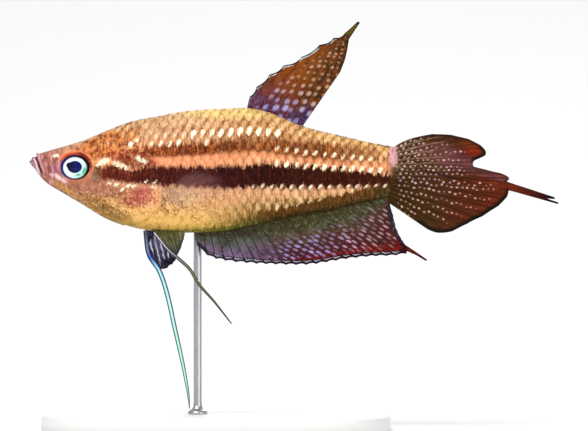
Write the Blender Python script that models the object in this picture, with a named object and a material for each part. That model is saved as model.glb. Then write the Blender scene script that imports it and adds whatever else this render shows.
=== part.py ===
# Sparkling gourami (Trichopsis pumila), adult, life size, as a still display model on a small stand.
# The fish faces -X and its left flank faces -Y. The stand's underside is at Z = 0.
# Shapes are worked out in the fish's own millimetres: s runs back from the snout, h is the height
# above the snout's level, and y is the distance from the middle plane. place() makes metres of them.

import bmesh
import bpy
import numpy as np

MM = 0.001

# The whole model
BODY_LENGTH = 38.0        # snout to the end of the tail
MID_LENGTH = 27.28        # half the length with the tail filament, where X is 0
SNOUT_HEIGHT = 27.7       # the snout's level above the floor
GAP = 0.3                 # between nodes that touch

# The body's outline at stations behind the snout: (s, back, belly, half width)
STATIONS = (
    (0.0, 0.0, 0.0, 0.0),
    (0.36, 0.57, -0.62, 0.42),
    (0.77, 0.82, -1.14, 0.68),
    (1.6, 1.10, -2.09, 1.02),
    (3.46, 1.65, -3.28, 1.58),
    (5.7, 2.33, -4.57, 2.10),
    (8.0, 3.31, -5.86, 2.50),
    (10.38, 4.20, -6.73, 2.76),
    (13.17, 4.78, -7.25, 2.90),
    (16.58, 5.36, -7.36, 2.93),
    (20.2, 5.56, -7.15, 2.80),
    (22.78, 5.59, -6.61, 2.60),
    (24.95, 5.09, -6.20, 2.38),
    (28.05, 3.80, -5.56, 2.00),
    (31.87, 2.83, -4.86, 1.48),
    (35.17, 2.06, -4.08, 1.00),
    (BODY_LENGTH, 1.55, -3.56, 0.62),
)
WIDEST_LEVEL = 0.56       # where a section is widest, as a share of its depth up from the belly
HEAD_SQUARE = 0.82        # under 1 the section is fuller at back and belly, over 1 it is sharper
TAIL_SQUARE = 1.05
SECTION_SIDES = 32

# Where the body is parted: the gill opening, and a plane across the tail
GILL_REAR = (13.85, -3.6)    # rearmost point of the gill cover
NAPE_S = 9.2                 # where that line meets the back
THROAT_S = 9.8               # where it meets the belly
TAIL_START = 31.4

# Gill covers
GILL_CENTRE = (12.2, -3.05)
GILL_RADII = (3.9, 3.1)
GILL_THICK = 0.55
GILL_RAISE = 0.12
GILL_PRISM_Y = (0.4, 5.0)    # how far out the cutter of the gill cover's outline starts and ends

# Eyes
EYE_CENTRE = (4.71, -0.59)
EYE_RADIUS = 1.4
EYE_DOME = 0.42
EYE_DEPTH = 0.85
EYE_LEVEL = 1.70             # how far the rim of the eye stands from the middle plane
EYE_TURN = 0.22              # radians by which each eye looks forward
EYE_SIDES = 28
SOCKET_REACH = 2.5           # how far out the cutter of a socket reaches

# Mouth and nostrils
MOUTH_FRONT = (0.19, 0.41)
MOUTH_CORNER = (1.28, -1.14)
LIP_RADIUS = 0.25
LIP_OFFSET = 0.24
MOUTH_GROOVE = 0.13
NOSTRIL = (2.62, 0.64)
NOSTRIL_RADIUS = 0.17
NOSTRIL_DEPTH = 0.3

# Fins: the membrane's thickness, and how far a ray's ridge stands proud of it on each side
MEMBRANE = 0.5
RAY_RIDGE = 0.11
FIN_EDGE = 0.34
FIN_WAVE = 0.22

# Each fin's margin: (ray, s, h), the rays counted from 0 in front or on top. Straight between them.
DORSAL_ROOT = (22.75, 28.0)
DORSAL_RAYS = 10
DORSAL_TIPS = (
    (0, 23.2, 7.5),
    (1, 24.4, 8.8),
    (2, 26.3, 9.5),
    (3, 28.2, 10.65),
    (4, 29.8, 11.5),
    (5, 31.2, 12.5),
    (6, 32.7, 13.35),
    (7, 34.0, 14.54),
    (8, 32.95, 12.2),
    (8.5, 32.4, 9.9),
    (9, 30.8, 7.4),
)
DORSAL_NOTCH = 0.3
ANAL_ROOT = (17.15, 37.1)
ANAL_RAYS = 28
ANAL_TIPS = (
    (0, 17.35, -8.75),
    (1, 18.3, -9.6),
    (3, 20.0, -10.1),
    (5, 21.9, -10.35),
    (9, 24.9, -10.5),
    (14, 29.0, -10.6),
    (19, 33.0, -9.95),
    (22, 35.6, -9.7),
    (24, 37.6, -9.65),
    (25, 38.85, -9.55),
    (26, 41.05, -10.18),
    (26.5, 39.05, -9.05),
    (27, 38.5, -8.0),
)
ANAL_NOTCH = 0.16
CAUDAL_ROOT = (38.3, 1.72, -4.0)       # s, top and bottom
CAUDAL_RAYS = 17
CAUDAL_TIPS = (
    (0, 41.6, 2.88),
    (1.5, 44.3, 2.72),
    (3, 46.2, 1.95),
    (4, 47.3, 0.95),
    (4.5, 45.9, 0.3),
    (5, 45.8, -0.2),
    (6, 47.4, -0.75),
    (7, 49.4, -1.35),
    (8, 49.6, -2.0),
    (8.5, 54.4, -3.7),
    (9, 54.68, -4.25),
    (9.5, 49.5, -2.87),
    (10.5, 49.0, -4.2),
    (12, 47.0, -5.75),
    (13.5, 44.5, -6.98),
    (15, 41.9, -7.35),
    (16, 39.9, -6.2),
)
CAUDAL_NOTCH = 0.08
CAUDAL_ROOT_THICK = 0.95

# Pectoral fins, fanned back from the flank
PECTORAL_ROOT = ((14.25, -2.75), (14.5, -4.2))
PECTORAL_RAYS = 10
PECTORAL_TIPS = (
    (0, 17.6, -0.55),
    (2, 19.4, -0.6),
    (4, 20.9, -2.2),
    (6.5, 20.6, -4.0),
    (8, 18.8, -5.3),
    (9, 17.1, -5.35),
)
PECTORAL_NOTCH = 0.12
PECTORAL_SPREAD = 0.42       # rise away from the flank for each millimetre along a ray

# Pelvic fins: the membrane of each side, and the long filament of its first ray
PELVIC_RAYS = 6
PELVIC_ROOT_Y = 0.75
PELVIC_SPREAD = 0.17
PELVIC_NOTCH = 0.1
RIGHT_PELVIC_ROOT = (11.95, 15.2)
RIGHT_PELVIC_TIPS = (
    (0, 12.2, -9.5),
    (1, 13.4, -10.9),
    (2.5, 14.5, -10.75),
    (4, 15.15, -10.1),
    (5, 15.6, -9.3),
)
RIGHT_FILAMENT = (
    (12.05, -8.6),
    (12.3, -9.7),
    (13.1, -11.2),
    (14.15, -14.1),
    (14.75, -17.3),
    (15.45, -20.9),
    (16.5, -25.55),
)
LEFT_PELVIC_ROOT = (12.5, 15.7)
LEFT_PELVIC_TIPS = (
    (0, 14.6, -9.4),
    (1.5, 15.2, -9.75),
    (3, 15.65, -9.2),
    (5, 15.95, -8.3),
)
LEFT_FILAMENT = (
    (14.2, -9.1),
    (15.3, -9.85),
    (16.4, -10.75),
    (17.5, -12.5),
    (19.2, -14.5),
    (20.7, -16.2),
    (20.88, -16.65),
)
FILAMENT_RADII = (0.3, 0.15)     # at its root and at its tip
FILAMENT_RINGS = 22

# Stand
BASE_CENTRE_X = -8.0
BASE_LENGTH = 36.0
BASE_WIDTH = 24.0
BASE_THICK = 1.6
BASE_ROUND = 3.2             # exponent of the outline: 2 is an ellipse, more is squarer
BASE_BEVEL = 0.35
BASE_SIDES = 64
ROD_S = 17.35
ROD_Y = 1.2
ROD_RADIUS = 0.42
FOOT_RADIUS = 1.0
FOOT_HEIGHT = 0.45
ROD_SIDES = 20


def clear_scene():
    for item in list(bpy.data.objects):
        bpy.data.objects.remove(item, do_unlink=True)


def smooth_line(knots, values, at):
    """A cubic between each two knots, whose slope at a knot is the mean of the two sides."""
    knots = np.asarray(knots, float)
    values = np.asarray(values, float)
    steps = np.diff(values) / np.diff(knots)
    slopes = np.concatenate([steps[:1], (steps[:-1] + steps[1:]) / 2, steps[-1:]])
    first = np.clip(np.searchsorted(knots, at, side="right") - 1, 0, len(knots) - 2)
    span = knots[first + 1] - knots[first]
    t = (at - knots[first]) / span
    start = (2 * t**3 - 3 * t**2 + 1) * values[first]
    start_slope = (t**3 - 2 * t**2 + t) * span * slopes[first]
    end = (3 * t**2 - 2 * t**3) * values[first + 1]
    end_slope = (t**3 - t**2) * span * slopes[first + 1]
    return start + start_slope + end + end_slope


def outline(s):
    """Back, belly and half width at s. Spacing by the square root of s rounds the snout."""
    knots = [np.sqrt(row[0]) for row in STATIONS]
    at = np.sqrt(np.clip(s, 0, BODY_LENGTH))
    return [smooth_line(knots, [row[i] for row in STATIONS], at) for i in (1, 2, 3)]


def squareness(s):
    share = np.clip(s / BODY_LENGTH, 0, 1)
    return HEAD_SQUARE + (TAIL_SQUARE - HEAD_SQUARE) * share


def section(s, angle):
    """The surface point (y, h) at s, at an angle from the back down the right flank."""
    back, belly, half = outline(s)
    middle = belly + WIDEST_LEVEL * (back - belly)
    up = np.cos(angle)
    side = np.sin(angle)
    h = middle + np.where(up > 0, back - middle, middle - belly) * up
    y = half * np.sign(side) * np.abs(side) ** squareness(s)
    return y, h


def flank_y(s, h):
    """How far the flank stands from the middle plane at s and h."""
    back, belly, half = outline(s)
    middle = belly + WIDEST_LEVEL * (back - belly)
    reach = np.where(h > middle, back - middle, middle - belly)
    up = np.clip((h - middle) / reach, -1, 1)
    return half * np.sqrt(1 - up**2) ** squareness(s)


def belly_h(s, y):
    """The height of the belly's surface at s, a distance y from the middle plane."""
    back, belly, half = outline(s)
    middle = belly + WIDEST_LEVEL * (back - belly)
    side = np.clip(np.abs(y) / half, 0, 1) ** (1 / squareness(s))
    return middle - (middle - belly) * np.sqrt(1 - side**2)


def place(s, y, h):
    """Metres from the fish's own millimetres."""
    return np.stack([s - MID_LENGTH, y, h + SNOUT_HEIGHT], axis=-1) * MM


def gill_line(angle):
    """s of the gill opening at each angle: a parabola back from nape and throat to its rear."""
    s = np.full_like(angle, GILL_REAR[0])
    for _ in range(12):
        back, belly = outline(s)[:2]
        h = section(s, angle)[1]
        up = np.clip((h - GILL_REAR[1]) / (back - GILL_REAR[1]), 0, 1)
        down = np.clip((GILL_REAR[1] - h) / (GILL_REAR[1] - belly), 0, 1)
        ahead = (GILL_REAR[0] - NAPE_S) * up**2 + (GILL_REAR[0] - THROAT_S) * down**2
        s = GILL_REAR[0] - ahead
    return s


def add_object(name, points, faces):
    mesh = bpy.data.meshes.new(name)
    mesh.from_pydata([tuple(p) for p in points], [], faces)
    made = bmesh.new()
    made.from_mesh(mesh)
    bmesh.ops.remove_doubles(made, verts=made.verts, dist=1e-7)
    if made.calc_volume(signed=True) < 0:
        bmesh.ops.reverse_faces(made, faces=made.faces)
    made.to_mesh(mesh)
    made.free()
    item = bpy.data.objects.new(name, mesh)
    bpy.context.scene.collection.objects.link(item)
    return item


def ring_faces(rings, sides):
    """Quads between rings of points, each ring closed on itself."""
    faces = []
    for i in range(rings - 1):
        for j in range(sides):
            k = (j + 1) % sides
            faces.append((i * sides + j, i * sides + k, (i + 1) * sides + k, (i + 1) * sides + j))
    return faces


def flank_cap(first, sides):
    """Strips across an end of the body, each from one flank to the other."""
    half = sides // 2
    faces = [(first, first + 1, first + sides - 1)]
    for j in range(1, half - 1):
        faces.append((first + j, first + j + 1, first + sides - j - 1, first + sides - j))
    faces.append((first + half - 1, first + half, first + half + 1))
    return faces


def body_loft(name, start, end, rings, inset=0.0):
    """A length of the body between two lines, each given as s at every angle."""
    angle = np.arange(SECTION_SIDES) * 2 * np.pi / SECTION_SIDES
    along = np.linspace(0, 1, rings)[:, None]
    s = start(angle) + (end(angle) - start(angle)) * along
    y, h = section(s, angle + 0 * s)
    if inset:
        step = 1e-3
        next_y, next_h = section(s, angle + step + 0 * s)
        last_y, last_h = section(s, angle - step + 0 * s)
        tangent = np.stack([next_y - last_y, next_h - last_h], axis=-1)
        tangent /= np.linalg.norm(tangent, axis=-1, keepdims=True)
        y = y + inset * tangent[..., 1]
        h = h - inset * tangent[..., 0]
    faces = ring_faces(rings, SECTION_SIDES)
    faces += flank_cap(0, SECTION_SIDES)
    faces += flank_cap((rings - 1) * SECTION_SIDES, SECTION_SIDES)
    points = place(s, y, h).reshape(-1, 3)
    return close_loft(name, points, faces)


def close_loft(name, points, faces):
    """Makes the mesh, drops the faces that a pole flattens, and turns all faces outward."""
    item = add_object(name, points, faces)
    made = bmesh.new()
    made.from_mesh(item.data)
    bmesh.ops.dissolve_degenerate(made, edges=made.edges, dist=1e-7)
    bmesh.ops.recalc_face_normals(made, faces=made.faces)
    made.to_mesh(item.data)
    made.free()
    return item


def level(value):
    """A line across the body at one s."""
    return lambda angle: np.full_like(angle, value)


def gill_edge(offset):
    """The line of the gill opening, moved back by offset."""
    return lambda angle: gill_line(angle) + offset


def boolean(item, others, operation):
    """Fuses the other closed meshes to the item, or cuts them from it, and keeps its largest body."""
    group = bpy.data.collections.new(item.name + "_tools")
    for other in others:
        group.objects.link(other)
    modifier = item.modifiers.new(operation.lower(), "BOOLEAN")
    modifier.operation = operation
    modifier.operand_type = "COLLECTION"
    modifier.collection = group
    modifier.solver = "EXACT"
    bpy.context.view_layer.update()
    graph = bpy.context.evaluated_depsgraph_get()
    result = bpy.data.meshes.new_from_object(item.evaluated_get(graph))
    item.modifiers.clear()
    item.data = result
    for other in others:
        bpy.data.objects.remove(other, do_unlink=True)
    bpy.data.collections.remove(group)
    keep_largest(item)


def keep_largest(item):
    made = bmesh.new()
    made.from_mesh(item.data)
    bmesh.ops.remove_doubles(made, verts=made.verts, dist=1e-7)
    left = set(made.faces)
    bodies = []
    while left:
        body = set()
        edge_of_body = [left.pop()]
        while edge_of_body:
            face = edge_of_body.pop()
            body.add(face)
            for edge in face.edges:
                for other in edge.link_faces:
                    if other in left:
                        left.remove(other)
                        edge_of_body.append(other)
        bodies.append(body)
    largest = max(bodies, key=lambda body: sum(face.calc_area() for face in body))
    scraps = [face for body in bodies if body is not largest for face in body]
    bmesh.ops.delete(made, geom=scraps, context="FACES")
    made.to_mesh(item.data)
    made.free()


def finish(item, colour, roughness, metallic=0.0, sharp=0.9):
    """Gives the node its own material and smooth shading."""
    material = bpy.data.materials.new(item.name)
    material.use_nodes = True
    shader = material.node_tree.nodes["Principled BSDF"]
    shader.inputs["Base Color"].default_value = (*colour, 1.0)
    shader.inputs["Roughness"].default_value = roughness
    shader.inputs["Metallic"].default_value = metallic
    item.data.materials.clear()
    item.data.materials.append(material)
    item.data.shade_smooth()
    item.data.set_sharp_from_angle(angle=sharp)


def tube(name, path, radii, beside=(0.0, 1.0, 0.0), sides=8):
    """A tube of varying radius along points (s, y, h), with closed ends. It never runs beside."""
    path = np.asarray(path, float)
    ahead = np.gradient(path, axis=0)
    ahead /= np.linalg.norm(ahead, axis=1, keepdims=True)
    across = np.cross(ahead, beside)
    across /= np.linalg.norm(across, axis=1, keepdims=True)
    other = np.cross(ahead, across)
    turn = np.arange(sides) * 2 * np.pi / sides
    ring = np.cos(turn)[None, :, None] * across[:, None]
    ring = ring + np.sin(turn)[None, :, None] * other[:, None]
    points = path[:, None] + ring * np.asarray(radii, float)[:, None, None]
    faces = ring_faces(len(path), sides)
    last = (len(path) - 1) * sides
    faces.append(tuple(range(sides)))
    faces.append(tuple(last + j for j in range(sides)))
    points = points.reshape(-1, 3)
    return close_loft(name, place(points[:, 0], points[:, 1], points[:, 2]), faces)


def turned(name, profile, sides):
    """A closed solid turned about +Z from (radius, height) pairs that start and end at radius 0."""
    turn = np.arange(sides) * 2 * np.pi / sides
    radius = np.array([p[0] for p in profile])[:, None]
    height = np.array([p[1] for p in profile])[:, None]
    points = np.stack(
        [radius * np.cos(turn), radius * np.sin(turn), height + 0 * turn], axis=-1
    )
    return close_loft(name, points.reshape(-1, 3) * MM, ring_faces(len(profile), sides))


def turn_to_side(item, side, centre, level_y, turn):
    """Turns a +Z solid to look out of one flank, and bakes its place into the mesh."""
    points = np.array([v.co[:] for v in item.data.vertices]) / MM
    across = points[:, 0]
    up = points[:, 1]
    out = points[:, 2]
    forward = np.sin(turn)
    s = centre[0] + across * np.cos(turn) - out * forward
    y = side * (level_y + out * np.cos(turn) + across * forward)
    placed = place(s, y, centre[1] + up)
    item.data.vertices.foreach_set("co", placed.ravel())
    item.data.update()
    outward(item)


def outward(item):
    made = bmesh.new()
    made.from_mesh(item.data)
    bmesh.ops.recalc_face_normals(made, faces=made.faces)
    made.to_mesh(item.data)
    made.free()


def eye_solid(name, side):
    """A glass-eye button: a domed front, a short wall and a flat back."""
    dome = [
        (EYE_RADIUS * np.sin(a), EYE_DOME * np.cos(a))
        for a in np.linspace(0, np.pi / 2, 7)
    ]
    wall = [(EYE_RADIUS * 0.97, -EYE_DEPTH), (0.0, -EYE_DEPTH)]
    item = turned(name, dome + wall, EYE_SIDES)
    turn_to_side(item, side, EYE_CENTRE, EYE_LEVEL, EYE_TURN)
    return item


def socket_cutter(side):
    radius = EYE_RADIUS + GAP
    floor = -EYE_DEPTH - GAP
    profile = [(0.0, SOCKET_REACH), (radius, SOCKET_REACH), (radius, floor), (0.0, floor)]
    item = turned("socket_cutter", profile, EYE_SIDES)
    turn_to_side(item, side, EYE_CENTRE, EYE_LEVEL, EYE_TURN)
    return item


def gill_prism(side, grow):
    """The gill cover's outline, round in front and open behind, drawn out of one flank."""
    turn = np.linspace(np.pi / 2, 3 * np.pi / 2, 17)
    high = GILL_RADII[1] + grow
    s = GILL_CENTRE[0] + (GILL_RADII[0] + grow) * np.cos(turn)
    h = GILL_CENTRE[1] + high * np.sin(turn)
    s = np.append(s, [GILL_REAR[0] + 2, GILL_REAR[0] + 2])
    h = np.append(h, [GILL_CENTRE[1] - high, GILL_CENTRE[1] + high])
    count = len(s)
    inner, outer = [place(s, np.full(count, side * y), h) for y in GILL_PRISM_Y]
    faces = [tuple(range(count)), tuple(range(2 * count - 1, count - 1, -1))]
    for j in range(count):
        k = (j + 1) % count
        faces.append((j, k, count + k, count + j))
    item = add_object("gill_prism", np.concatenate([inner, outer]), faces)
    outward(item)
    return item


def gill_cover(name, side):
    """A plate that follows the head: its outer form is the head's, raised a little."""
    ahead = GILL_CENTRE[0] - GILL_RADII[0] - 1
    plate = body_loft(name, level(ahead), gill_edge(-GAP / 2), 16, inset=-GILL_RAISE)
    boolean(plate, [gill_prism(side, 0.0)], "INTERSECT")
    depth = GILL_THICK - GILL_RAISE
    core = body_loft("gill_core", level(ahead - 1), level(GILL_REAR[0] + 1), 16, inset=depth)
    boolean(plate, [core], "DIFFERENCE")
    return plate


def gill_recess(side):
    """The cutter of the hollow that a gill cover lies in."""
    ahead = GILL_CENTRE[0] - GILL_RADII[0] - 2
    depth = GILL_THICK - GILL_RAISE + GAP
    core = body_loft("recess_core", level(ahead), level(GILL_REAR[0] + 3), 18, inset=depth)
    recess = gill_prism(side, GAP)
    boolean(recess, [core], "DIFFERENCE")
    return recess


def mouth_path(offset, count=17):
    """A line round the snout from corner to corner, offset up or down across the mouth."""
    t = np.linspace(-1, 1, count)
    share = np.abs(t) ** 1.2
    along = np.subtract(MOUTH_CORNER, MOUTH_FRONT)
    normal = np.array([-along[1], along[0]]) / np.hypot(*along)
    s = MOUTH_FRONT[0] + along[0] * share + normal[0] * offset
    h = MOUTH_FRONT[1] + along[1] * share + normal[1] * offset
    s = np.maximum(s, 0.12)
    back, belly = outline(s)[:2]
    h = np.clip(h, belly + 0.05, back - 0.05)
    return s, np.sign(t) * flank_y(s, h), h


def lip(name, offset, radius):
    s, y, h = mouth_path(offset)
    path = np.stack([s, y * 0.97, h], axis=1)
    ends = np.clip((1 - np.abs(np.linspace(-1, 1, len(s)))) * 4, 0.35, 1)
    along = np.subtract(MOUTH_CORNER, MOUTH_FRONT)
    return tube(name, path, radius * ends, beside=(-along[1], 0.0, along[0]))


def nostril_cutter(side):
    deep = NOSTRIL_DEPTH
    profile = [(0, deep), (NOSTRIL_RADIUS, deep), (NOSTRIL_RADIUS, -deep * 0.8), (0, -deep)]
    item = turned("nostril", profile, 10)
    y = float(flank_y(np.array(NOSTRIL[0]), np.array(NOSTRIL[1])))
    turn_to_side(item, side, NOSTRIL, y, EYE_TURN)
    return item


def make_head():
    """From the snout's point to the gill opening, with rings closer together at the snout."""
    angle = np.arange(SECTION_SIDES) * 2 * np.pi / SECTION_SIDES
    along = np.linspace(0, 1, 30)[:, None] ** 1.6
    s = gill_edge(-GAP / 2)(angle) * along
    y, h = section(s, angle + 0 * s)
    faces = ring_faces(len(along), SECTION_SIDES)
    faces += flank_cap((len(along) - 1) * SECTION_SIDES, SECTION_SIDES)
    head = close_loft("head", place(s, y, h).reshape(-1, 3), faces)
    upper = lip("upper_lip", LIP_OFFSET, LIP_RADIUS)
    lower = lip("lower_lip", -LIP_OFFSET, LIP_RADIUS)
    boolean(head, [upper, lower], "UNION")
    cutters = [socket_cutter(side) for side in (-1, 1)]
    cutters += [gill_recess(side) for side in (-1, 1)]
    cutters += [nostril_cutter(side) for side in (-1, 1)]
    cutters.append(lip("mouth_groove", 0.0, MOUTH_GROOVE))
    boolean(head, cutters, "DIFFERENCE")
    finish(head, (0.62, 0.38, 0.26), 0.4)


def make_body():
    torso = body_loft("torso", gill_edge(GAP / 2), level(TAIL_START - GAP / 2), 26)
    finish(torso, (0.72, 0.45, 0.26), 0.35)
    tail = body_loft("tail", level(TAIL_START + GAP / 2), level(BODY_LENGTH), 10)
    finish(tail, (0.62, 0.40, 0.24), 0.35)


def make_gill_covers():
    for side, name in ((-1, "gill_cover_left"), (1, "gill_cover_right")):
        plate = gill_cover(name, side)
        finish(plate, (0.78, 0.45, 0.36), 0.35)


def make_eyes():
    for side, name in ((-1, "eye_left"), (1, "eye_right")):
        eye = eye_solid(name, side)
        finish(eye, (0.75, 0.85, 0.82), 0.1)


def fin_grid(name, root, tips, rays, rows, rise, thick, notch, seat=None):
    """A membrane between a root line and its margin, with a ridge on both faces along each ray.

    root gives (s, h) for a share of the root's length, rise gives y, and thick gives the
    membrane's thickness. Rays stand at every other column, and the first and last are borders.
    The margin is notched between the rays. seat gives the h of the surface that a root faces.
    """
    columns = 2 * rays - 1
    u = np.linspace(0, 1, columns)
    v = np.linspace(0, 1, rows + 1)[:, None]
    on_ray = (np.arange(columns) % 2 == 0) * 1.0
    root_s, root_h = root(u)
    numbers = [row[0] for row in tips]
    tip_s = np.interp(u * (rays - 1), numbers, [row[1] for row in tips])
    tip_h = np.interp(u * (rays - 1), numbers, [row[2] for row in tips])
    length = np.hypot(tip_s - root_s, tip_h - root_h)
    reach = v * (1 - notch / length * (1 - on_ray))
    s = root_s + (tip_s - root_s) * reach
    h = root_h + (tip_h - root_h) * reach
    y = rise(u + 0 * v, length * reach)
    edge = np.clip((v - 0.8) / 0.2, 0, 1) ** 2
    half = thick(v) / 2 + RAY_RIDGE * on_ray * (1 - edge)
    half = half + (FIN_EDGE / 2 - half) * edge
    near = np.stack([s, y - half, h], axis=-1)
    far = np.stack([s, y + half, h], axis=-1)
    if seat:
        for face in (near, far):
            face[0, :, 2] = seat(face[0, :, 0], face[0, :, 1])
    return grid_solid(name, place(*np.moveaxis(near, -1, 0)), place(*np.moveaxis(far, -1, 0)))


def grid_solid(name, near, far):
    rows, columns = near.shape[:2]
    count = rows * columns
    faces = []
    for i in range(rows - 1):
        for j in range(columns - 1):
            a = i * columns + j
            b = a + 1
            c = b + columns
            d = a + columns
            faces += [(a, b, c), (a, c, d)]
            faces += [(count + a, count + c, count + b), (count + a, count + d, count + c)]
    border = list(range(columns))
    border += [i * columns + columns - 1 for i in range(1, rows)]
    border += [(rows - 1) * columns + j for j in range(columns - 2, -1, -1)]
    border += [i * columns for i in range(rows - 2, 0, -1)]
    for a, b in zip(border, border[1:] + border[:1]):
        faces += [(a, count + a, b), (b, count + a, count + b)]
    points = np.concatenate([near.reshape(-1, 3), far.reshape(-1, 3)])
    return add_object(name, points, faces)


def even(thickness):
    return lambda v: thickness + 0 * v


def wave(u, length):
    """A median fin's slow wave, growing from nothing at its root."""
    return FIN_WAVE * np.sin(2.2 * np.pi * u + 0.6) * np.clip(length / 5.0, 0, 1.2) ** 1.5


def make_dorsal_fin():
    def root(u):
        s = DORSAL_ROOT[0] + (DORSAL_ROOT[1] - DORSAL_ROOT[0]) * u
        return s, outline(s)[0] + GAP

    fin = fin_grid(
        "dorsal_fin", root, DORSAL_TIPS, DORSAL_RAYS, 9, wave, even(MEMBRANE), DORSAL_NOTCH
    )
    finish(fin, (0.36, 0.13, 0.05), 0.5)


def make_anal_fin():
    def root(u):
        s = ANAL_ROOT[0] + (ANAL_ROOT[1] - ANAL_ROOT[0]) * u
        return s, outline(s)[1] - GAP

    fin = fin_grid("anal_fin", root, ANAL_TIPS, ANAL_RAYS, 6, wave, even(MEMBRANE), ANAL_NOTCH)
    finish(fin, (0.30, 0.16, 0.20), 0.5)


def make_caudal_fin():
    def root(u):
        h = CAUDAL_ROOT[1] + (CAUDAL_ROOT[2] - CAUDAL_ROOT[1]) * u
        return CAUDAL_ROOT[0] + 0 * u, h

    def thick(v):
        return MEMBRANE + (CAUDAL_ROOT_THICK - MEMBRANE) * (1 - v) ** 4

    fin = fin_grid("caudal_fin", root, CAUDAL_TIPS, CAUDAL_RAYS, 10, wave, thick, CAUDAL_NOTCH)
    finish(fin, (0.34, 0.12, 0.05), 0.5)


def make_pectoral_fins():
    for side, name in ((-1, "pectoral_fin_left"), (1, "pectoral_fin_right")):
        def root(u):
            first, last = PECTORAL_ROOT
            return first[0] + (last[0] - first[0]) * u, first[1] + (last[1] - first[1]) * u

        def rise(u, length):
            s, h = root(u)
            foot = flank_y(s, h) + GAP + MEMBRANE / 2 + RAY_RIDGE
            return side * (foot + PECTORAL_SPREAD * length)

        fin = fin_grid(
            name, root, PECTORAL_TIPS, PECTORAL_RAYS, 6, rise, even(MEMBRANE), PECTORAL_NOTCH
        )
        finish(fin, (0.80, 0.66, 0.50), 0.3)


def pelvic_y(side, h, root_h):
    """How far out the pelvic fin and its filament stand, a height below the root."""
    return side * (PELVIC_ROOT_Y + PELVIC_SPREAD * np.clip(root_h - h, 0, None) ** 0.8)


def pelvic_fin(name, side, root_span, tips, filament, colour):
    root_h = belly_h(np.array(root_span[0]), PELVIC_ROOT_Y)

    def root(u):
        s = root_span[0] + (root_span[1] - root_span[0]) * u
        return s, belly_h(s, PELVIC_ROOT_Y) - GAP

    def rise(u, length):
        return pelvic_y(side, -length * 0.9, 0.0)

    def seat(s, y):
        return belly_h(s, y) - GAP * 1.2

    fin = fin_grid(name, root, tips, PELVIC_RAYS, 5, rise, even(MEMBRANE), PELVIC_NOTCH, seat)
    knots = np.linspace(0, 1, len(filament))
    at = np.linspace(0, 1, FILAMENT_RINGS)
    s = smooth_line(knots, [p[0] for p in filament], at)
    h = smooth_line(knots, [p[1] for p in filament], at)
    path = np.stack([s, pelvic_y(side, h, root_h), h], axis=1)
    radii = FILAMENT_RADII[0] + (FILAMENT_RADII[1] - FILAMENT_RADII[0]) * at
    boolean(fin, [tube(name + "_filament", path, radii)], "UNION")
    finish(fin, colour, 0.4)


def make_pelvic_fins():
    left = (LEFT_PELVIC_ROOT, LEFT_PELVIC_TIPS, LEFT_FILAMENT)
    right = (RIGHT_PELVIC_ROOT, RIGHT_PELVIC_TIPS, RIGHT_FILAMENT)
    pelvic_fin("pelvic_fin_left", -1, *left, (0.22, 0.22, 0.12))
    pelvic_fin("pelvic_fin_right", 1, *right, (0.14, 0.16, 0.30))


def make_stand_base():
    """A flat plate with a squared oval outline and a bevelled top edge."""
    turn = np.arange(BASE_SIDES) * 2 * np.pi / BASE_SIDES
    power = 2 / BASE_ROUND
    x = np.sign(np.cos(turn)) * np.abs(np.cos(turn)) ** power
    y = np.sign(np.sin(turn)) * np.abs(np.sin(turn)) ** power
    rings = ((0.0, 0.0), (0.0, BASE_THICK - BASE_BEVEL), (BASE_BEVEL, BASE_THICK))
    points = []
    for inset, z in rings:
        ring_x = BASE_CENTRE_X + (BASE_LENGTH / 2 - inset) * x
        ring_y = (BASE_WIDTH / 2 - inset) * y
        points.append(np.stack([ring_x, ring_y, np.full_like(x, z)], axis=1))
    faces = ring_faces(3, BASE_SIDES)
    faces.append(tuple(range(BASE_SIDES)))
    faces.append(tuple(2 * BASE_SIDES + j for j in range(BASE_SIDES)))
    base = close_loft("stand_base", np.concatenate(points) * MM, faces)
    finish(base, (0.80, 0.80, 0.78), 0.45)


def make_stand_rod():
    """A thin rod on a small foot. Its top is cut to the slope of the belly above it."""
    turn = np.arange(ROD_SIDES) * 2 * np.pi / ROD_SIDES
    foot_z = BASE_THICK + GAP
    rings = (
        (FOOT_RADIUS, foot_z),
        (FOOT_RADIUS, foot_z + FOOT_HEIGHT * 0.5),
        (FOOT_RADIUS * 0.75, foot_z + FOOT_HEIGHT),
        (ROD_RADIUS * 1.5, foot_z + FOOT_HEIGHT * 1.3),
        (ROD_RADIUS, foot_z + FOOT_HEIGHT * 2.2),
    )
    x = ROD_S - MID_LENGTH
    points = [
        np.stack([x + r * np.cos(turn), ROD_Y + r * np.sin(turn), np.full(ROD_SIDES, z)], axis=1)
        for r, z in rings
    ]
    top_s = ROD_S + ROD_RADIUS * np.cos(turn)
    top_y = ROD_Y + ROD_RADIUS * np.sin(turn)
    top_z = belly_h(top_s, top_y) + SNOUT_HEIGHT - GAP * 1.4
    points.append(np.stack([top_s - MID_LENGTH, top_y, top_z], axis=1))
    faces = ring_faces(len(points), ROD_SIDES)
    last = (len(points) - 1) * ROD_SIDES
    faces.append(tuple(range(ROD_SIDES)))
    faces.append(tuple(last + j for j in range(ROD_SIDES)))
    rod = close_loft("stand_rod", np.concatenate(points) * MM, faces)
    finish(rod, (0.62, 0.62, 0.63), 0.3, 1.0)


clear_scene()
make_head()
make_body()
make_gill_covers()
make_eyes()
make_dorsal_fin()
make_anal_fin()
make_caudal_fin()
make_pectoral_fins()
make_pelvic_fins()
make_stand_base()
make_stand_rod()
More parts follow.
